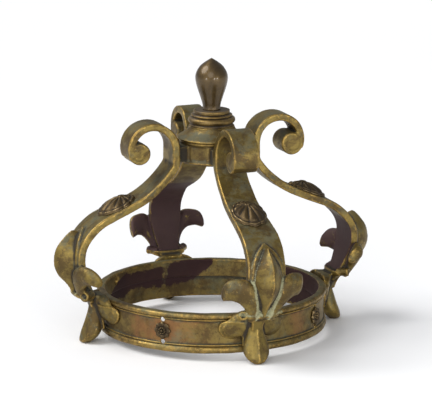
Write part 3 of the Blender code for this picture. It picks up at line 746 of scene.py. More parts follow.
def with_modifiers(mesh, modifiers):
    """A mesh after modifiers, each given as its kind and its settings."""
    item = bpy.data.objects.new("work_" + mesh.name, mesh)
    bpy.context.scene.collection.objects.link(item)
    for kind, settings in modifiers:
        modifier = item.modifiers.new(kind.lower(), kind)
        for key, value in settings.items():
            setattr(modifier, key, value)
    bpy.context.view_layer.update()
    evaluated = item.evaluated_get(bpy.context.evaluated_depsgraph_get())
    made = bpy.data.meshes.new_from_object(evaluated)
    bpy.data.objects.remove(item, do_unlink=True)
    return made


def melt(name, skins, cell):
    return with_modifiers(
        mesh_from(name, skins), [("REMESH", {"mode": "VOXEL", "voxel_size": cell})]
    )


print("cell", 1000 * ARCH_CELL, "mm")

# %% [markdown]
# A voxel mesh has small steps. Smoothing moves each point towards its neighbours. Arrays
# do that for all points at once, which a loop in Python would take minutes for.
# %% Points, edges and neighbours
def mesh_arrays(mesh):
    """A mesh's points, edges and outward normals as arrays."""
    points = np.empty(len(mesh.vertices) * 3)
    mesh.vertices.foreach_get("co", points)
    edges = np.empty(len(mesh.edges) * 2, int)
    mesh.edges.foreach_get("vertices", edges)
    normals = np.empty(len(mesh.vertices) * 3, np.float32)
    mesh.vertex_normals.foreach_get("vector", normals)
    return points.reshape(-1, 3), edges.reshape(-1, 2), normals.reshape(-1, 3).astype(float)


def neighbour_mean(points, edges):
    count = np.maximum(1, np.bincount(edges.ravel(), minlength=len(points)))
    total = np.empty_like(points)
    for k in range(points.shape[1]):
        total[:, k] = np.bincount(edges[:, 0], points[edges[:, 1], k], len(points))
        total[:, k] += np.bincount(edges[:, 1], points[edges[:, 0], k], len(points))
    return total / count[:, None]


def smoothed(points, edges, rounds):
    """Smoothing that keeps the volume: a step in, then a slightly longer step out."""
    for _ in range(rounds):
        points = points + 0.50 * (neighbour_mean(points, edges) - points)
        points = points - 0.53 * (neighbour_mean(points, edges) - points)
    return points


def set_points(mesh, points):
    mesh.vertices.foreach_set("co", points.astype(np.float32).ravel())
    mesh.update()


print("neighbours of 0 and 1:", neighbour_mean(np.array([[0.0], [1.0]]), np.array([[0, 1]])).ravel())

# %% [markdown]
# ## Where metal wears and where dirt stays
# Hands polish what stands proud and dirt fills what lies low. Both are read from the mesh:
# a point that stands out from the mean of its neighbours is worn, and one that lies below
# it is a hollow. A place can also be given as shade: it counts as hollow, so it gets
# painted shade. The two values go on the mesh as attributes, for the materials to use.
# %% Wear and dirt attributes
WORN_MM = 0.16
HOLLOW_MM = 0.55


def relief(points, edges, normals, rounds):
    """How far each point stands above its surroundings, in millimetres."""
    soft = points
    for _ in range(rounds):
        soft = soft + 0.8 * (neighbour_mean(soft, edges) - soft)
    return 1000 * ((points - soft) * normals).sum(1)


def put(mesh, name, values):
    attribute = mesh.attributes.new(name, "FLOAT", "POINT")
    attribute.data.foreach_set("value", np.clip(values, 0, 1).astype(np.float32))


def mark_relief(mesh, fine_rounds=5, broad_rounds=36, worn_mm=WORN_MM, hollow_mm=HOLLOW_MM,
                painted_shade=0.0):
    """Marks wear and dirt. Places given as shade also count as hollow, which paints shade there."""
    points, edges, normals = mesh_arrays(mesh)
    put(mesh, "worn", relief(points, edges, normals, fine_rounds) / worn_mm - painted_shade)
    put(mesh, "hollow", painted_shade - relief(points, edges, normals, broad_rounds) / hollow_mm)


print(f"fully worn at {WORN_MM} mm proud, full of dirt at {HOLLOW_MM} mm deep")

# %% [markdown]
# ## A hand-made surface
# Nothing on the crown is quite flat or quite round. Slow noise of a fifth of a millimetre
# gives the waviness of sand-cast and filed metal, and faster noise gives shallow pits.
# %% Waviness
WAVE_MM = 0.22
PIT_MM = 0.06
WAVES_PER_METRE = 70
PITS_PER_METRE = 330


def handmade(points, normals, seed, wave_mm=WAVE_MM, pit_mm=PIT_MM):
    """Points moved along their normals by slow waves and small pits."""
    shift = Vector((seed * 1.7, seed * 0.9, seed * 2.3))
    rise = np.empty(len(points))
    for index, point in enumerate(points):
        place = Vector(point)
        slow = noise.noise(place * WAVES_PER_METRE + shift)
        quick = noise.noise(place * PITS_PER_METRE + shift)
        rise[index] = wave_mm * slow + pit_mm * min(0.0, quick)
    return points + normals * rise[:, None] / 1000


print(f"waves of {WAVE_MM} mm, pits of {PIT_MM} mm")

# %% [markdown]
# ## Building the arches
# One function puts an arch together from its skins, melts it, and marks where paint and
# verdigris lie. The inside of the crown still has dark maroon paint, ragged at its edges,
# and the front fleur has pale verdigris along the lines beside its petals.
# %% Paint and verdigris on an arch
# A row is where the paint starts and ends as shares of the way to the hub, its strength,
# and how many half widths it goes to the side that faces clockwise.
PAINTED = {
    "back": (-0.20, 0.66, 0.92, 5.0),
    "right": (-0.20, 0.42, 0.92, 1.05),
    "front": (0.03, 0.30, 0.60, 5.0),
    "left": (0.03, 0.22, 0.55, 5.0),
}
BORDER_LINE_WIDTH = 0.0014
PETAL_LINE_WIDTH = 0.0011


def paint_on_arch(name, path, points, normals):
    """Paint on the inner faces, between two shares of the way to the neck."""
    low, high, strength, widest = PAINTED[name]
    distance, side, rise = path.locate(points)
    out = path.outward(distance)
    facing = -(normals[:, ::2] * out).sum(1)
    share = distance / path.neck
    region = ease(low - 0.03, low + 0.05, share) * (1 - ease(high - 0.10, high + 0.06, share))
    edge = 1 - 0.14 * ease(0.75, 1.0, abs(side) / path.half_width(distance))
    edge = edge * (points[:, 2] > TIE_TOP) * (side > -widest * path.half_width(distance))
    return strength * region * edge * (rise < 0.0045) * ease(-0.05, 0.45, facing)


def verdigris_on_arch(path, points, hollow):
    """Verdigris in the hollows of the fleur, most along the border and over the tie."""
    distance, side, rise = path.locate(points)
    along = (distance - FLEUR_START) / path.fleur
    zone = ease(-0.12, 0.02, along) * (1 - ease(0.95, 1.12, along))
    border, petal = np.array(BORDER_ROWS), np.array(PETAL_ROWS)
    outer = np.interp(along, border[:, 0], border[:, 1]) * CENTRE_PETAL_WIDTH / 2
    inner = np.interp(along, petal[:, 0], petal[:, 1]) * CENTRE_PETAL_WIDTH / 2
    line = 0.95 * np.exp(-((abs(side) - outer) / BORDER_LINE_WIDTH) ** 2)
    line += 0.65 * np.exp(-((abs(side) - inner - 0.0004) / PETAL_LINE_WIDTH) ** 2)
    line *= 0.50 + 0.50 * (1 - ease(0.15, 0.80, along))
    ledge = ease(TIE_BOTTOM + 0.70 * TIE_HEIGHT, TIE_BOTTOM + 0.92 * TIE_HEIGHT, points[:, 2])
    ledge *= (1 - ease(0.08, 0.22, along)) * (points[:, 0] > BAND_OUTER_RADIUS + 0.006)
    return zone * (line * (rise > 0.002) + 0.35 * hollow * (rise > 0)) + 0.80 * ledge


print("painted arches:", ", ".join(PAINTED))

# %% [markdown]
# The fleur, tie, foot and strap were one casting, so their skins are melted together. The
# arch is built at the right-hand side and turned to its place at the end.
# %% Arch casting
CREVICE_ROUNDS = 12
CREVICE_MM = 0.18
OTHER_VERDIGRIS = 0.55


def turned(points, degrees):
    """Points turned about the crown's axis."""
    angle = math.radians(degrees)
    c, s = math.cos(angle), math.sin(angle)
    return points @ np.array([[c, s, 0], [-s, c, 0], [0, 0, 1]])


def arch_mesh(name, seed):
    path = PATHS[name]
    skins = [strap_skin(path), eye_skin(path), root_skin(), foot_skin(path), tie_skin()]
    skins += [border_skin(path), centre_petal_skin(path)]
    for side in (1, -1):
        skins += [curl_skin(side, path.traits["curls"][side]), leaf_skin(side)]
        skins += [side_petal_skin(path, side)]
    mesh = melt("arch_" + name + "_cast", skins, ARCH_CELL)
    points, edges, _ = mesh_arrays(mesh)
    set_points(mesh, smoothed(points, edges, 3))
    mark_relief(mesh)
    points, edges, normals = mesh_arrays(mesh)
    hollow = np.clip(-relief(points, edges, normals, CREVICE_ROUNDS) / CREVICE_MM, 0, 1)
    put(mesh, "paint", paint_on_arch(name, path, points, normals))
    verdigris = verdigris_on_arch(path, points, hollow)
    put(mesh, "verdigris", verdigris * (1.0 if name == "front" else OTHER_VERDIGRIS))
    points = handmade(points, normals, seed)
    points[:, 2] = np.maximum(points[:, 2], 0)
    set_points(mesh, turned(points, path.traits["angle"]))
    return mesh


ARCH_MESHES = {name: arch_mesh(name, seed) for seed, name in enumerate(ARCHES)}
for name, mesh in ARCH_MESHES.items():
    print(f"arch {name}: {len(mesh.polygons)} faces")

# %% [markdown]
# ## Shell bosses
# A shell sits on each strap. Its ribs fan out from a point near the hub end, where a few
# beads cluster, and end in a scalloped rim. It was cast on its own and pinned on, and it
# is nearly black because nobody polishes between its ribs.
# %% Shell boss
SHELL_FOCUS = 0.40
SHELL_CELL = 0.0004


def shell_rise(x, y, share):
    """The shell's height at a place on its unit disc."""
    angle = np.arctan2(y, x - SHELL_FOCUS)
    away = np.hypot(x - SHELL_FOCUS, y)
    rib = abs(np.cos(BOSS_FLUTES * angle / 2)) ** 0.6
    dome_height = 0.65 * (1 - share ** 1.6) + 0.35 * (1 - share ** 6)
    fan = ease(0.12, 0.35, away)
    rise = BOSS_HEIGHT * dome_height * (1 - 0.30 * fan * (1 - rib))
    rise += 0.0007 * np.exp(-((share - 0.93) / 0.05) ** 2)
    rise -= 0.0006 * np.exp(-((share - 0.82) / 0.04) ** 2)
    for step in range(6):
        turn = math.radians(60 * step)
        bead = np.hypot(x - SHELL_FOCUS - 0.13 * math.cos(turn), y - 0.13 * math.sin(turn))
        rise += 0.0009 * np.exp(-(bead / 0.065) ** 2)
    return rise + 0.0011 * np.exp(-(np.hypot(x - SHELL_FOCUS, y) / 0.07) ** 2)


def boss_skin(path):
    middle = path.traits["boss"] * path.neck

    def place(angle, share, front):
        fan = np.arctan2(np.sin(angle), np.cos(angle) - SHELL_FOCUS)
        edge = 1 + 0.035 * (2 * abs(np.cos(BOSS_FLUTES * fan / 2)) - 1) * share
        x, y = share * np.cos(angle), share * np.sin(angle)
        rise = shell_rise(x, y, share) if front else np.zeros(len(angle))
        return path.place(
            middle + edge * x * BOSS_LENGTH / 2,
            edge * y * BOSS_WIDTH / 2,
            STRAP_THICKNESS / 2 + GAP + rise,
        )

    return dome(216, 56, place)


def boss_mesh(name):
    path = PATHS[name]
    mesh = melt("boss_" + name + "_cast", [boss_skin(path)], SHELL_CELL)
    points, edges, _ = mesh_arrays(mesh)
    set_points(mesh, smoothed(points, edges, 2))
    mark_relief(mesh, fine_rounds=5, broad_rounds=24, worn_mm=0.10, hollow_mm=0.30)
    points, _, normals = mesh_arrays(mesh)
    points = handmade(points, normals, seed=7, wave_mm=0.10, pit_mm=0.05)
    set_points(mesh, turned(points, path.traits["angle"]))
    return mesh


BOSS_MESHES = {name: boss_mesh(name) for name in ARCHES}
print("boss faces:", [len(mesh.polygons) for mesh in BOSS_MESHES.values()])

# %% [markdown]
# ## Rosettes
# Between the arches a small flower is pinned to the band. It has a ring of round petals, a
# ring of smaller beads inside it and one bead in the middle, all worn to grains.
# %% Rosette
ROSETTE_PETALS = 8
ROSETTE_PLACES = {"front_right": -45, "back_right": 45, "back_left": 135, "front_left": 225}


def rosette_skin():
    def place(angle, share, front):
        petal = np.cos(ROSETTE_PETALS * angle)
        edge = share * (1 + 0.07 * petal * share) / 1.07
        x, y = edge * np.cos(angle), edge * np.sin(angle)
        rise = np.zeros(len(angle))
        if front:
            round_petal = 0.42 + 0.26 * np.sqrt(abs(np.cos(ROSETTE_PETALS * angle / 2)))
            outer = round_petal * max(0.0, 1 - ((share - 0.74) / 0.27) ** 2) ** 0.5
            inner = 0.62 + 0.14 * np.cos(ROSETTE_PETALS * angle + math.pi)
            inner = inner * math.exp(-((share - 0.36) / 0.13) ** 2)
            rise = np.maximum(outer, inner)
            rise = np.maximum(rise, 0.98 * math.exp(-(share / 0.17) ** 4))
            rise = ROSETTE_HEIGHT * np.maximum(rise, 0.12)
        return on_band(x * ROSETTE_DIAMETER / 2, FIELD_MIDDLE + y * ROSETTE_DIAMETER / 2, rise)

    return dome(128, 40, place)


def rosette_mesh(name):
    mesh = mesh_from("rosette_" + name + "_cast", [rosette_skin()])
    mark_relief(mesh, fine_rounds=5, broad_rounds=20, worn_mm=0.10, hollow_mm=0.25)
    points, _, normals = mesh_arrays(mesh)
    seed = 11 + ROSETTE_PLACES[name]
    points = handmade(points, normals, seed, wave_mm=0.12, pit_mm=0.10)
    set_points(mesh, turned(points, ROSETTE_PLACES[name]))
    return mesh


ROSETTE_MESHES = {name: rosette_mesh(name) for name in ROSETTE_PLACES}
print("rosette faces:", len(ROSETTE_MESHES["front_right"].polygons))

# %% [markdown]
# ## The band
# The band was cast as a ring and turned: a half-round rim, a fillet line, a sunk field, and
# the same again below with a wider rim. A turned piece is one profile swept round the axis,
# so a function sweeps any profile. Eight pin holes are then cut with a Boolean.
# %% Swept profiles
def spaced(profile, step):
    """The same profile with points at most a step apart."""
    points = [np.array(profile[0], float)]
    for a, b in zip(profile, profile[1:]):
        a, b = np.array(a, float), np.array(b, float)
        count = max(1, math.ceil(np.linalg.norm(b - a) / step))
        points += [a + (b - a) * (k + 1) / count for k in range(count)]
    return np.array(points)


def swept(profile, segments):
    """Points and faces of a profile of (radius, height) swept round the axis."""
    angle = np.linspace(0, 2 * math.pi, segments, endpoint=False)
    turn = np.stack([np.cos(angle), np.sin(angle)], -1)
    rings = []
    for radius, height in profile:
        rings.append(np.column_stack([radius * turn, np.full(segments, height)]))
    return np.array(rings)


def half_round(radius, top, height, steps):
    """Points down a half-round moulding that reaches a radius."""
    angle = np.linspace(math.pi / 2, -math.pi / 2, steps + 1)
    across = radius - height / 2 + height / 2 * np.cos(angle)
    return list(zip(across, top - height / 2 + height / 2 * np.sin(angle)))


print("half-round points:", len(half_round(0.1, 0.04, 0.0046, 10)))

# %% [markdown]
# The section runs once round the metal: over the upper rim, down the outer face with its
# two fillet lines, under the lower rim, and up the inside, which is thicker in its upper
# half. Close points on it give later steps enough mesh to work on.
# %% Band profile
PROFILE_STEP = 0.0009
BAND_SEGMENTS = 480
FILLET_ROUND = 0.0003


def band_profile():
    """The band's closed section, from the top of its inside round the outer face."""
    lower_rim = BAND_BOTTOM + BOTTOM_RIM_HEIGHT
    fillet = BAND_OUTER_RADIUS - FILLET_RECESS
    step = BAND_TOP - 0.45 * BAND_HEIGHT
    corner = 0.0011
    profile = [(BAND_INNER_RADIUS + corner, BAND_TOP)]
    profile += half_round(BAND_OUTER_RADIUS, BAND_TOP, TOP_RIM_HEIGHT, 12)[:-1]
    profile += [
        (FIELD_RADIUS, BAND_TOP - TOP_RIM_HEIGHT),
        (FIELD_RADIUS, FIELD_TOP + FILLET_HEIGHT),
        (fillet - FILLET_ROUND, FIELD_TOP + 0.78 * FILLET_HEIGHT),
        (fillet, FIELD_TOP + 0.5 * FILLET_HEIGHT),
        (fillet - FILLET_ROUND, FIELD_TOP + 0.22 * FILLET_HEIGHT),
        (FIELD_RADIUS, FIELD_TOP),
        (FIELD_RADIUS, FIELD_BOTTOM),
        (fillet - FILLET_ROUND, FIELD_BOTTOM - 0.22 * FILLET_HEIGHT),
        (fillet, FIELD_BOTTOM - 0.5 * FILLET_HEIGHT),
        (fillet - FILLET_ROUND, FIELD_BOTTOM - 0.78 * FILLET_HEIGHT),
        (FIELD_RADIUS, lower_rim),
    ]
    profile += half_round(BAND_OUTER_RADIUS, lower_rim, BOTTOM_RIM_HEIGHT, 14)[1:]
    profile += [
        (BAND_INNER_RADIUS + INNER_STEP + corner, BAND_BOTTOM),
        (BAND_INNER_RADIUS + INNER_STEP, BAND_BOTTOM + corner),
        (BAND_INNER_RADIUS + INNER_STEP, step - 0.0006),
        (BAND_INNER_RADIUS, step),
        (BAND_INNER_RADIUS, BAND_TOP - corner),
        (BAND_INNER_RADIUS + corner, BAND_TOP),
    ]
    return profile


def ring_skin(profile, segments):
    """A closed section swept round the axis, which leaves no ends to cap."""
    rings = swept(profile[:-1], segments)
    rows = len(rings)
    faces = []
    for row in range(rows):
        low, high = row * segments, ((row + 1) % rows) * segments
        for step in range(segments):
            after = (step + 1) % segments
            faces.append((low + step, low + after, high + after, high + step))
    return rings.reshape(-1, 3), faces


BAND_PROFILE = spaced(band_profile(), PROFILE_STEP)
print("band profile points:", len(BAND_PROFILE))

# %% [markdown]
# A pair of pin holes sits above and below each flower. Inside the band the same maroon
# paint is left as on the arches. Outside, cleaning has bared copper-coloured patches where
# zinc has gone from the surface. Both go by the angle on plan, with 0 to the right and -90
# to the front.
# %% Pin holes and paint on the band
PIN_HOLE_FLARE = 0.0030
PIN_HOLE_PLAY = 0.0002
PIN_HOLE_POINTS = 20


def pin_hole_skin(height, degrees):
    """A cutter for one hole, which opens like a funnel towards the inside."""
    angle = np.linspace(0, 2 * math.pi, PIN_HOLE_POINTS, endpoint=False)
    rings = []
    for along, radius in (
        (BAND_INNER_RADIUS - 0.001, PIN_HOLE_DIAMETER / 2 + PIN_HOLE_FLARE),
        (FIELD_RADIUS - 0.001, PIN_HOLE_DIAMETER / 2 + PIN_HOLE_PLAY),
        (BAND_OUTER_RADIUS + 0.01, PIN_HOLE_DIAMETER / 2 + PIN_HOLE_PLAY),
    ):
        around = [radius * np.cos(angle), height + radius * np.sin(angle)]
        ring = np.stack([np.full(PIN_HOLE_POINTS, along), *around], -1)
        rings.append(turned(ring, degrees))
    return skin(rings)


# A row is an angle on plan and the heights between which the inside is painted there.
PAINT_LOW_HIGH_MM = [
    (-40, 12, 44), (-15, 8, 44), (24, 8, 44), (30, 30, 44), (34, 44, 44), (68, 42, 42),
    (71, 33, 43), (74, 29, 43), (79, 22, 43), (84, 19, 42), (91, 17.5, 41), (99, 16, 38),
    (110, 19, 36), (120, 20, 37.5), (127, 14, 38), (135, 16, 33), (142, 23, 27), (146, 25, 25),
]
PAINT_RUB_ANGLE = 97
PAINT_RUB_WIDTH = 2.2
PAINT_RUB_SHARE = 0.40
# A row is an angle on plan and the share of copper that shows there.
FIELD_COPPER = [(-172, 0.0), (-158, 0.15), (-150, 1.0), (-128, 1.0), (-114, 0.45), (-104, 0.0)]
FIELD_COPPER += [(-74, 0.0), (-68, 0.45), (-63, 1.0), (-57, 0.9), (-52, 0.1), (-40, 0.2)]
FIELD_COPPER += [(-20, 0.6), (20, 0.3), (60, 0.8), (100, 0.2), (140, 0.7), (180, 0.0)]


def plan_angle(points):
    return np.degrees(np.arctan2(points[:, 1], points[:, 0]))


def facing_out(points, normals):
    radial = points[:, :2] / np.linalg.norm(points[:, :2], axis=1)[:, None]
    return (normals[:, :2] * radial).sum(1)


def paint_on_band(points, normals):
    """Paint on the inside of the band, between two heights that vary round it."""
    angle, height = plan_angle(points), 1000 * points[:, 2]
    rows = np.array(PAINT_LOW_HIGH_MM)
    low, high = (np.interp(angle, rows[:, 0], rows[:, column]) for column in (1, 2))
    region = ease(low - 7, low + 6, height) * (1 - ease(high - 5, high + 5, height))
    region *= (angle >= rows[0, 0]) & (angle <= rows[-1, 0])
    rub = np.exp(-((angle - PAINT_RUB_ANGLE) / PAINT_RUB_WIDTH) ** 2)
    region *= 1 - PAINT_RUB_SHARE * rub
    # The near half of the inside is seen from behind only, with a thinner rest of paint.
    rest = 0.50 * (angle < -50) * ease(-178, -160, angle)
    return ease(0.2, 0.6, -facing_out(points, normals)) * np.clip(region + rest, 0, 1)


def copper_on_band(points, normals):
    """Where cleaning has left the field copper-coloured, by the angle on plan."""
    share = np.interp(plan_angle(points), *zip(*FIELD_COPPER))
    away = np.hypot(points[:, 0], points[:, 1]) - FIELD_RADIUS
    return share * (abs(away) < 0.0006) * (facing_out(points, normals) > 0.7)


def band_mesh():
    ring = mesh_from("band_cast", [ring_skin(BAND_PROFILE, BAND_SEGMENTS)])
    holes = []
    for degrees in ROSETTE_PLACES.values():
        for sign in (1, -1):
            holes.append(pin_hole_skin(FIELD_MIDDLE + sign * PIN_HOLE_SPACING / 2, degrees))
    cutter = bpy.data.objects.new("pin_hole_cutter", mesh_from("pin_hole_cutter", holes))
    bpy.context.scene.collection.objects.link(cutter)
    cut = {"operation": "DIFFERENCE", "object": cutter, "solver": "EXACT"}
    mesh = with_modifiers(ring, [("BOOLEAN", cut)])
    bpy.data.objects.remove(cutter, do_unlink=True)
    mark_relief(mesh, fine_rounds=3, broad_rounds=24, worn_mm=0.12, hollow_mm=0.40)
    points, _, normals = mesh_arrays(mesh)
    put(mesh, "paint", paint_on_band(points, normals))
    put(mesh, "copper", copper_on_band(points, normals))
    set_points(mesh, handmade(points, normals, seed=3, wave_mm=0.30, pit_mm=0.05))
    return mesh


BAND_MESH = band_mesh()
print("band faces:", len(BAND_MESH.polygons))

# %% [markdown]
# ## The hub
# The drum in the middle was turned, then given four seats for the arches and four sunk
# panels. A cap, a collar and a finial are stacked on it and held by one bolt, which does
# not show. The turned pieces are swept profiles on smooth rows.
# %% Drum
DRUM_CELL = 0.0005
DRUM_SEGMENTS = 96
AXIS_RADIUS = 0.0004


def box_skin(near, far, width, low, high, degrees):
    """A box on a radius of the hub."""
    rings = []
    for height in (low, high):
        corners = [(near, -width / 2), (far, -width / 2), (far, width / 2), (near, width / 2)]
        rings.append(turned(np.array([(x, y, height) for x, y in corners]), degrees))
    return skin(rings)


def drum_profile():
    rim = DRUM_RADIUS + DRUM_FILLET_REACH
    line = DRUM_FILLET_HEIGHT
    return [
        (AXIS_RADIUS, DRUM_TOP),
        (rim - 0.0003, DRUM_TOP),
        (rim, DRUM_TOP - 0.0003),
        (rim, DRUM_TOP - line),
        (DRUM_RADIUS, DRUM_TOP - 1.4 * line),
        (DRUM_RADIUS, DRUM_BOTTOM + 1.75 * line),
        (rim - 0.0002, DRUM_BOTTOM + 1.55 * line),
        (rim, DRUM_BOTTOM + 1.2 * line),
        (rim - 0.0002, DRUM_BOTTOM + 0.8 * line),
        (DRUM_RADIUS - 0.2 * line, DRUM_BOTTOM + 0.5 * line),
        (DRUM_RADIUS - DRUM_FILLET_REACH, DRUM_BOTTOM),
        (AXIS_RADIUS, DRUM_BOTTOM),
    ]


def drum_mesh():
    turned_body = skin(swept(drum_profile(), DRUM_SEGMENTS))
    pads, panels = [], []
    middle = (DRUM_BOTTOM + DRUM_TOP + 0.4 * DRUM_FILLET_HEIGHT) / 2
    for path in PATHS.values():
        angle = path.traits["angle"]
        pad = (DRUM_RADIUS / 2, HUB_PAD_RADIUS, HUB_PAD_WIDTH, NECK_BOTTOM, NECK_TOP, angle)
        pads.append(box_skin(*pad))
        half = PANEL_HEIGHT / 2
        panels.append(box_skin(
            DRUM_RADIUS - PANEL_RECESS, 0.04, PANEL_WIDTH, middle - half, middle + half, angle + 45
        ))
    body = mesh_from("hub_drum_turned", [turned_body])
    tools = []
    modifiers = []
    for operation, shapes in (("UNION", pads), ("DIFFERENCE", panels)):
        tool = bpy.data.objects.new("drum_tool", mesh_from("drum_tool", shapes))
        bpy.context.scene.collection.objects.link(tool)
        tools.append(tool)
        modifiers.append(("BOOLEAN", {"operation": operation, "object": tool, "solver": "EXACT"}))
    modifiers.append(("REMESH", {"mode": "VOXEL", "voxel_size": DRUM_CELL}))
    mesh = with_modifiers(body, modifiers)
    for tool in tools:
        bpy.data.objects.remove(tool, do_unlink=True)
    points, edges, _ = mesh_arrays(mesh)
    set_points(mesh, smoothed(points, edges, 2))
    points, _, normals = mesh_arrays(mesh)
    # Painted shade: seats behind the arch necks count as hollow and the dirt film darkens them.
    seat_shade = ease(DRUM_RADIUS + 0.0012, DRUM_RADIUS + 0.0022, np.hypot(points[:, 0], points[:, 1]))
    mark_relief(mesh, 5, 30, worn_mm=0.12, hollow_mm=1.10, painted_shade=seat_shade)
    set_points(mesh, handmade(points, normals, seed=5, wave_mm=0.12, pit_mm=0.05))
    return mesh


DRUM_MESH = drum_mesh()
print("drum faces:", len(DRUM_MESH.polygons))

# %% [markdown]
# The cap is an ogee, the collar has a torus, a step and a washer, and the finial is a bud
# that swells from its neck and closes in a blunt tip. A lathe would cut each in one
# setting, so each is one profile on smooth rows.
# %% Cap, collar and finial
TURNED_STEP = 0.0008
TURNED_SEGMENTS = 144


def cap_profile(bottom):
    rise = [
        (0.00, 1.00), (0.05, 0.85), (0.22, 0.62), (0.55, 0.40), (0.86, 0.24), (1.00, 0.14),
    ]
    flare = CAP_RIM_RADIUS - CAP_TOP_RADIUS
    curve = smooth_rows(rise, 8)
    profile = [(AXIS_RADIUS, bottom + CAP_HEIGHT)]
    profile += [(CAP_TOP_RADIUS + out * flare, bottom + up * CAP_HEIGHT) for out, up in curve]
    profile += [(CAP_RIM_RADIUS - 0.0001, bottom + 0.07 * CAP_HEIGHT)]
    profile += [(CAP_RIM_RADIUS - 0.0006, bottom + 0.02 * CAP_HEIGHT), (DRUM_RADIUS, bottom)]
    return profile + [(AXIS_RADIUS, bottom)]


def collar_profile(bottom):
    torus = 0.40 * COLLAR_HEIGHT
    neck = bottom + 0.16 * COLLAR_HEIGHT
    groove = COLLAR_STEP_RADIUS - 0.06 * COLLAR_RADIUS
    rows = [
        (AXIS_RADIUS, 1.00), (WASHER_RADIUS - 0.0006, 1.00), (WASHER_RADIUS - 0.0001, 0.985),
        (WASHER_RADIUS, 0.95), (WASHER_RADIUS, 0.82), (WASHER_RADIUS - 0.0004, 0.79),
        (WASHER_RADIUS - 0.0012, 0.77), (COLLAR_STEP_RADIUS - 0.0005, 0.72),
        (COLLAR_STEP_RADIUS, 0.70), (COLLAR_STEP_RADIUS, 0.63), (COLLAR_STEP_RADIUS - 0.0004, 0.61),
        (groove, 0.58),
    ]
    profile = [(radius, bottom + up * COLLAR_HEIGHT) for radius, up in rows]
    profile += half_round(COLLAR_RADIUS, neck + torus, torus, 14)[1:]
    return profile + [(CAP_TOP_RADIUS - 0.0006, bottom), (AXIS_RADIUS, bottom)]


def finial_profile(bottom):
    rows = [
        (-1.20, 1.000), (-0.88, 0.974), (-0.38, 0.928), (0.30, 0.850), (0.80, 0.745),
        (1.00, 0.640), (0.93, 0.530), (0.65, 0.385), (0.30, 0.240), (0.00, 0.090), (0.00, 0.000),
    ]
    swell = FINIAL_RADIUS - FINIAL_NECK_RADIUS
    profile = []
    for out, up in smooth_rows(rows, 8):
        radius = max(AXIS_RADIUS, FINIAL_NECK_RADIUS + out * swell)
        profile.append((radius, bottom + up * FINIAL_HEIGHT))
    return profile + [(AXIS_RADIUS, bottom)]


CAP_BOTTOM = DRUM_TOP + GAP
COLLAR_BOTTOM = CAP_BOTTOM + CAP_HEIGHT + GAP
FINIAL_BOTTOM = COLLAR_BOTTOM + COLLAR_HEIGHT + GAP


def turned_mesh(name, profile, wave_mm):
    mesh = mesh_from(name, [skin(swept(spaced(profile, TURNED_STEP), TURNED_SEGMENTS))])
    mark_relief(mesh, fine_rounds=4, broad_rounds=20, worn_mm=0.10, hollow_mm=0.30)
    points, _, normals = mesh_arrays(mesh)
    set_points(mesh, handmade(points, normals, seed=9, wave_mm=wave_mm, pit_mm=0.02))
    return mesh


TURNED_MESHES = {
    "hub_cap": turned_mesh("hub_cap_turned", cap_profile(CAP_BOTTOM), 0.12),
    "hub_collar": turned_mesh("hub_collar_turned", collar_profile(COLLAR_BOTTOM), 0.10),
    "finial": turned_mesh("finial_turned", finial_profile(FINIAL_BOTTOM), 0.06),
}
print("turned faces:", {name: len(mesh.polygons) for name, mesh in TURNED_MESHES.items()})

# %% [markdown]
# ## Colour and nodes
# Colours are written as sRGB hex, as a paint chart gives them, and one function turns them
# to the linear numbers that the renderer wants. One more function adds any node with its
# settings and links, so that a material reads as a list of what it is made of.
# %% Colour and node helpers
def linear(text):
    """A hex colour as linear red, green, blue and alpha."""
    values = [int(text[k:k + 2], 16) / 255 for k in (1, 3, 5)]
    return [v / 12.92 if v <= 0.04045 else ((v + 0.055) / 1.055) ** 2.4 for v in values] + [1.0]


def add(tree, kind, inputs, **settings):
    """A node with its settings. Inputs are values or the sockets they come from."""
    node = tree.nodes.new(kind)
    for key, value in settings.items():
        setattr(node, key, value)
    for key, value in inputs.items():
        if isinstance(value, bpy.types.NodeSocket):
            tree.links.new(value, node.inputs[key])
        else:
            node.inputs[key].default_value = value
    return node


print("mid grey is", round(linear("#808080")[0], 3))

# %% [markdown]
# ## Aged brass
# Brass is copper with about a third of zinc. Cast, and left for a century, it shows four
# things: bare yellow metal where hands rub it, brown tarnish over most of it, a dull
# grey-green film where air and dust sit, and dirt in every hollow. Each of these is a film
# over the one before. A film lies where noise of a real patch size, plus a share of an
# attribute, passes a level. Rub-through, paint and verdigris are films as well.
#
# Sand leaves grains of 0.2 to 0.4 mm on a casting. One pixel of the picture covers about
# 0.9 mm, so the grain is drawn coarser, at 1.1 mm, and the dents at six times that.
# %% A metal with films
DENTS_PER_GRAIN = 6
BUMP_STRENGTH = 0.8


def film_mask(tree, place, film):
    """Where a film lies: patches of noise, helped by attributes or by facing up."""
    value = add(tree, "ShaderNodeTexNoise", {
        "Vector": place,
        "Scale": 1000 / film["patch_mm"],
        "Detail": film.get("detail", 5.0),
        "Roughness": film.get("ragged", 0.62),
        "Distortion": film.get("swirl", 0.3),
    }).outputs["Fac"]
    for name, weight in film.get("wants", {}).items():
        if name == "up":
            normal = add(tree, "ShaderNodeNewGeometry", {}).outputs["Normal"]
            share = add(tree, "ShaderNodeSeparateXYZ", {0: normal}).outputs["Z"]
        else:
            share = add(tree, "ShaderNodeAttribute", {}, attribute_name=name).outputs["Fac"]
        value = add(tree, "ShaderNodeMath", {0: share, 1: weight, 2: value},
                    operation="MULTIPLY_ADD").outputs[0]
    return add(tree, "ShaderNodeMapRange", {
        "Value": value,
        "From Min": film["start"],
        "From Max": film["full"],
        "To Max": film.get("cover", 1.0),
    }, interpolation_type="SMOOTHSTEP").outputs["Result"]


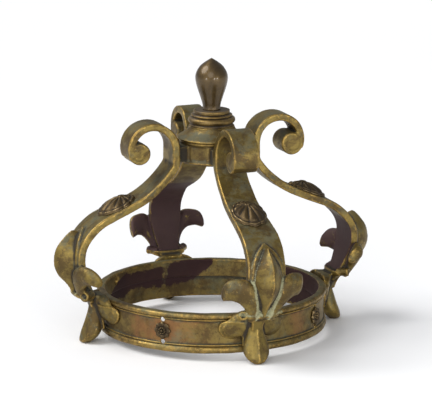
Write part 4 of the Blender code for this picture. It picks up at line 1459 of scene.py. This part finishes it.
def aged_metal(name, bare, films, grain_mm=1.1, grain_depth=0.00009, dent_depth=0.00012):
    """A metal of a bare colour and roughness under films of tarnish, dirt and paint."""
    material = bpy.data.materials.new(name)
    material.use_nodes = True
    tree = material.node_tree
    shader = tree.nodes["Principled BSDF"]
    place = add(tree, "ShaderNodeTexCoord", {}).outputs["Object"]
    colour, rough = linear(bare["colour"]), bare["rough"]
    metal = 1.0
    for film in films:
        mask = film_mask(tree, place, film)
        colour = add(tree, "ShaderNodeMix", {0: mask, 6: colour, 7: linear(film["colour"])},
                     data_type="RGBA").outputs[2]
        rough = add(tree, "ShaderNodeMix", {0: mask, 2: rough, 3: film["rough"]}).outputs[0]
        metal = add(tree, "ShaderNodeMix", {0: mask, 2: metal, 3: film["metal"]}).outputs[0]
    tree.links.new(colour, shader.inputs["Base Color"])
    tree.links.new(rough, shader.inputs["Roughness"])
    tree.links.new(metal, shader.inputs["Metallic"])
    grain = add(tree, "ShaderNodeTexNoise", {
        "Vector": place, "Scale": 1000 / grain_mm, "Detail": 4.0, "Roughness": 0.6,
    }).outputs["Fac"]
    dents = add(tree, "ShaderNodeTexNoise", {
        "Vector": place, "Scale": 1000 / (DENTS_PER_GRAIN * grain_mm), "Detail": 3.0, "Roughness": 0.5,
    }).outputs["Fac"]
    fine = add(tree, "ShaderNodeBump", {
        "Height": grain, "Distance": grain_depth, "Strength": BUMP_STRENGTH,
    })
    bump = add(tree, "ShaderNodeBump", {
        "Height": dents, "Distance": dent_depth, "Strength": BUMP_STRENGTH,
        "Normal": fine.outputs[0],
    })
    tree.links.new(bump.outputs[0], shader.inputs["Normal"])
    return material


print("dents are", DENTS_PER_GRAIN, "grains wide")

# %% [markdown]
# A film has a colour, how metallic and how rough it is, the size of its patches in
# millimetres, the levels between which it starts and is full, and the attributes that it
# wants. Broad films have patches of a finger's width. Fine ones are flecks that are really
# about half a millimetre, drawn at 2 mm so that they show.
# %% Films
# Brown oxide, so thin that it still looks like metal: it darkens the brass and dulls it.
TARNISH = {
    "colour": "#4f3f27", "metal": 0.80, "rough": 0.56,
    "patch_mm": 20, "start": 0.42, "full": 0.60, "wants": {"hollow": 0.22}, "cover": 0.85,
    "detail": 9.0, "ragged": 0.72,
}
# Air and dust on surfaces that face up: a matt, greenish grey that hides the yellow.
GREY_FILM = {
    "colour": "#5a5a46", "metal": 0.35, "rough": 0.70,
    "patch_mm": 13, "start": 0.50, "full": 0.68, "wants": {"up": 0.10, "hollow": 0.12},
    "cover": 0.72, "detail": 9.0, "ragged": 0.72,
}
# Bare metal on the tops of the sand grains, and painted glints: warm sparks that stand
# in for glints of light, finer on the real casting.
GRAINS_AND_GLINTS = {
    "colour": "#b3924f", "metal": 1.0, "rough": 0.34,
    "patch_mm": 2.6, "start": 0.60, "full": 0.72, "wants": {"worn": 0.10}, "detail": 6.0,
    "ragged": 0.7, "cover": 0.60,
}
# Dark pits between the grains: they give the peppered look, finer on the real casting.
SPECKS = {
    "colour": "#2c2318", "metal": 0.5, "rough": 0.62,
    "patch_mm": 2.2, "start": 0.56, "full": 0.70, "wants": {"hollow": 0.10}, "detail": 6.0,
    "ragged": 0.7, "cover": 0.60,
}
# Dust and old wax in every hollow, nearly black and matt: it draws the carving.
# On the drum's seats behind the arch necks the same film is painted shade.
DIRT_AND_SHADE = {
    "colour": "#211a11", "metal": 0.25, "rough": 0.75,
    "patch_mm": 6, "start": 0.70, "full": 1.05, "wants": {"hollow": 0.70}, "cover": 0.85,
    "detail": 8.0, "ragged": 0.7,
}
# Bare brass where hands and cloths rub: yellow, the smoothest of the films, on edges.
RUBBED = {
    "colour": "#b3924f", "metal": 1.0, "rough": 0.34,
    "patch_mm": 9, "start": 0.78, "full": 1.10, "wants": {"worn": 0.42}, "cover": 0.80,
    "detail": 9.0, "ragged": 0.76,
}
# Copper carbonate, a pale green powder with no shine at all, in the lines of the fleur.
VERDIGRIS = {
    "colour": "#a09f7c", "metal": 0.0, "rough": 0.85,
    "patch_mm": 1.7, "start": 0.80, "full": 1.08, "wants": {"verdigris": 0.54}, "cover": 0.88,
    "detail": 8.0, "ragged": 0.80,
}
# Old oil paint rubbed thin, so that some metal glints through: dark, with ragged edges.
MAROON_PAINT = {
    "colour": "#32191b", "metal": 0.55, "rough": 0.66,
    "patch_mm": 8, "start": 0.735, "full": 0.775, "wants": {"paint": 0.42}, "detail": 12.0,
    "ragged": 0.86, "cover": 0.96,
}
# Brass that has lost zinc: a pinker metal with a soft shine, on the band's field.
COPPER_SHOW = {
    "colour": "#8d6340", "metal": 0.9, "rough": 0.46,
    "patch_mm": 16, "start": 0.58, "full": 0.98, "wants": {"copper": 0.32}, "detail": 10.0,
    "ragged": 0.78, "cover": 0.80,
}
print("patches of tarnish", TARNISH["patch_mm"], "mm, of verdigris", VERDIGRIS["patch_mm"], "mm")

# %% [markdown]
# All pieces are brass, but each was made and handled in its own way. So each has its own
# bare colour and its own list of films, from the metal outward. A metal keeps the shader's
# own refraction value. New cast brass has a roughness near 0.4, and age adds a little.
# %% Materials of the crown
# Sand-cast brass, filed: uneven olive and gold, with dark lines and green in the carving.
CAST_BRASS = aged_metal(
    "aged_cast_brass", {"colour": "#82703f", "rough": 0.46},
    [
        TARNISH, GREY_FILM, GRAINS_AND_GLINTS, SPECKS, DIRT_AND_SHADE, RUBBED, VERDIGRIS,
        {**MAROON_PAINT, "colour": "#402a2b", "metal": 0.35},
    ],
)
# Cast and turned brass: broader, calmer patches, bright rims and pink stains.
BAND_BRASS = aged_metal(
    "turned_band_brass", {"colour": "#7d6b3f", "rough": 0.46},
    [
        TARNISH, COPPER_SHOW, {**GREY_FILM, "patch_mm": 26, "colour": "#66664a"}, GRAINS_AND_GLINTS, SPECKS,
        {**DIRT_AND_SHADE, "cover": 0.6}, RUBBED, MAROON_PAINT,
    ],
)
# Sand-cast brass that nobody polishes: nearly black, with pale rubbed ribs.
SHELL_BRASS = aged_metal(
    "dark_shell_brass", {"colour": "#5a4b34", "rough": 0.48},
    [
        {**TARNISH, "colour": "#3f3324"}, DIRT_AND_SHADE,
        {**RUBBED, "colour": "#9a8560", "start": 0.70, "full": 1.0, "cover": 0.8},
    ],
)
# Turned brass that hands seldom reach: greyer and more matt than the arches. Its dirt film
# also paints shade on the drum's seats.
HUB_BRASS = aged_metal(
    "turned_hub_brass", {"colour": "#7c6a3f", "rough": 0.50},
    [TARNISH, {**GREY_FILM, "cover": 0.85}, GRAINS_AND_GLINTS, SPECKS, DIRT_AND_SHADE, RUBBED],
)
# Turned brass, tarnished brown: the rings show as dark and light lines.
COLLAR_BRASS = aged_metal(
    "tarnished_collar_brass", {"colour": "#665636", "rough": 0.46},
    [
        {**TARNISH, "colour": "#544531"}, {**GREY_FILM, "colour": "#655c52"}, SPECKS, DIRT_AND_SHADE,
        {**RUBBED, "cover": 0.45},
    ],
)
# Turned, browned and lacquered brass: smooth, dark and even. The lacquer is the shader's
# coat, which adds small crisp lights over the softer shine of the metal.
FINIAL_BRASS = aged_metal(
    "smooth_bronzed_finial", {"colour": "#5c4b30", "rough": 0.46},
    [
        {**TARNISH, "colour": "#4b3d27", "rough": 0.52, "metal": 1.0},
        {**SPECKS, "cover": 0.25}, {**DIRT_AND_SHADE, "cover": 0.5},
        {**RUBBED, "cover": 0.35},
    ],
    grain_depth=0.00003, dent_depth=0.00004,
)
finial_shader = FINIAL_BRASS.node_tree.nodes["Principled BSDF"]
finial_shader.inputs["Coat Weight"].default_value = 0.5
finial_shader.inputs["Coat Roughness"].default_value = 0.14
print("materials:", len(bpy.data.materials))

# %% [markdown]
# ## Putting the pieces in the scene
# Each finer piece rides on the crown's one body and takes the place of its solid node,
# which is hidden.
# %% Place the pieces
def put_piece(name, mesh, material, slot, *nodes):
    mesh.polygons.foreach_set("use_smooth", np.ones(len(mesh.polygons), bool))
    mesh.materials.clear()
    mesh.materials.append(material)
    item = bpy.data.objects.new(name, mesh)
    bpy.context.scene.collection.objects.link(item)
    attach(item, "root")
    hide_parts(*nodes)
    return item


for name, mesh in ARCH_MESHES.items():
    put_piece("cast_arch_" + name, mesh, CAST_BRASS, "cast", "arch_" + name)
for name, mesh in BOSS_MESHES.items():
    put_piece("shell_boss_" + name, mesh, SHELL_BRASS, "dark", "boss_" + name)
for name, mesh in ROSETTE_MESHES.items():
    put_piece("band_flower_" + name, mesh, SHELL_BRASS, "dark", "rosette_" + name)
put_piece("head_band", BAND_MESH, BAND_BRASS, "band", "band")
put_piece("turned_drum", DRUM_MESH, HUB_BRASS, "hub", "hub_drum")
put_piece("ogee_cap", TURNED_MESHES["hub_cap"], HUB_BRASS, "hub", "hub_cap")
put_piece("stepped_collar", TURNED_MESHES["hub_collar"], COLLAR_BRASS, "hub", "hub_collar")
put_piece("bud_finial", TURNED_MESHES["finial"], FINIAL_BRASS, "finial", "finial")

# %% [markdown]
# ## Floor, light and camera
# The crown stands on a white studio floor. Matt white board keeps the shadow soft, and a
# very faint mottle stops it from looking like a flat colour.
# %% Floor
FLOOR_HALF_SIZE = 12.0


def studio_floor():
    corners = [(-FLOOR_HALF_SIZE, -FLOOR_HALF_SIZE, 0), (FLOOR_HALF_SIZE, -FLOOR_HALF_SIZE, 0),
               (FLOOR_HALF_SIZE, FLOOR_HALF_SIZE, 0), (-FLOOR_HALF_SIZE, FLOOR_HALF_SIZE, 0)]
    mesh = bpy.data.meshes.new("studio_floor")
    mesh.from_pydata(corners, [], [(0, 1, 2, 3)])
    material = bpy.data.materials.new("matt_white_board")
    material.use_nodes = True
    tree = material.node_tree
    shader = tree.nodes["Principled BSDF"]
    place = add(tree, "ShaderNodeTexCoord", {}).outputs["Object"]
    mottle = add(tree, "ShaderNodeTexNoise", {"Vector": place, "Scale": 3.0, "Detail": 2.0})
    tone = add(tree, "ShaderNodeMix", {
        0: mottle.outputs["Fac"], 6: linear("#f4f4f5"), 7: linear("#f7f7f7"),
    }, data_type="RGBA")
    tree.links.new(tone.outputs[2], shader.inputs["Base Color"])
    shader.inputs["Roughness"].default_value = 0.9
    shader.inputs["Specular IOR Level"].default_value = 0.1
    mesh.materials.append(material)
    floor = bpy.data.objects.new("studio_floor", mesh)
    bpy.context.scene.collection.objects.link(floor)
    return floor


studio_floor()
print("floor", 2 * FLOOR_HALF_SIZE, "m across")

# %% [markdown]
# One broad soft light hangs over the crown's left side, a weaker one stands in front, and
# the pale room fills the rest. Three small lamps leave bright spots on the finial. Suns
# are used for the broad lights, because their softness is one angle, at any distance.
# %% Light
LAMP_SIZE = 0.10
LAMP_POWER = 7.0


def lamp(name, kind, energy, place, aim, **settings):
    data = bpy.data.lights.new(name, kind)
    data.energy = energy
    for key, value in settings.items():
        setattr(data, key, value)
    item = bpy.data.objects.new(name, data)
    item.location = place
    item.rotation_euler = (Vector(aim) - Vector(place)).to_track_quat("-Z", "Y").to_euler()
    bpy.context.scene.collection.objects.link(item)
    return item


def studio_light():
    world = bpy.data.worlds.new("pale_room")
    world.use_nodes = True
    background = world.node_tree.nodes["Background"]
    background.inputs["Color"].default_value = linear("#f2f4f8")
    background.inputs["Strength"].default_value = 0.42
    bpy.context.scene.world = world
    hub = (0, 0, 0.16)
    lamp("overhead_key", "SUN", 2.4, (-1.6, 0.35, 2.1), hub, angle=math.radians(42))
    lamp("front_light", "SUN", 0.85, (-1.2, -2.3, 1.7), hub, angle=math.radians(40))
    spots = [(-1.88, -1.32, 0.30), (0.04, -2.30, 0.32), (0.75, -2.17, 0.30)]
    for index, place in enumerate(spots):
        lamp(f"small_lamp_{index + 1}", "AREA", LAMP_POWER, place, hub, size=LAMP_SIZE)


studio_light()
bpy.context.scene.view_settings.view_transform = "Standard"
print("lights:", len(bpy.data.lights))

# %% [markdown]
# A long lens from two and a half metres keeps the ring's ellipses calm. The camera looks
# down by 13 degrees, so the inside of the band shows behind the front fleur.
# %% Camera
LENS_MM = 238.9
SENSOR_MM = 36.0
CAMERA_PLACE = Vector((-0.8271, -2.2724, 0.6726))
CAMERA_PITCH_DEGREES = 13.01
CAMERA_HEADING_DEGREES = 20.09


def camera():
    data = bpy.data.cameras.new("studio_camera")
    data.lens = LENS_MM
    data.sensor_width = SENSOR_MM
    item = bpy.data.objects.new("studio_camera", data)
    heading = math.radians(CAMERA_HEADING_DEGREES)
    pitch = math.radians(CAMERA_PITCH_DEGREES)
    look = Vector((math.sin(heading), math.cos(heading), 0)) * math.cos(pitch)
    look.z = -math.sin(pitch)
    item.location = CAMERA_PLACE
    item.rotation_euler = look.to_track_quat("-Z", "Y").to_euler()
    bpy.context.scene.collection.objects.link(item)
    bpy.context.scene.camera = item


camera()
print("camera", round(CAMERA_PLACE.length, 2), "m away")
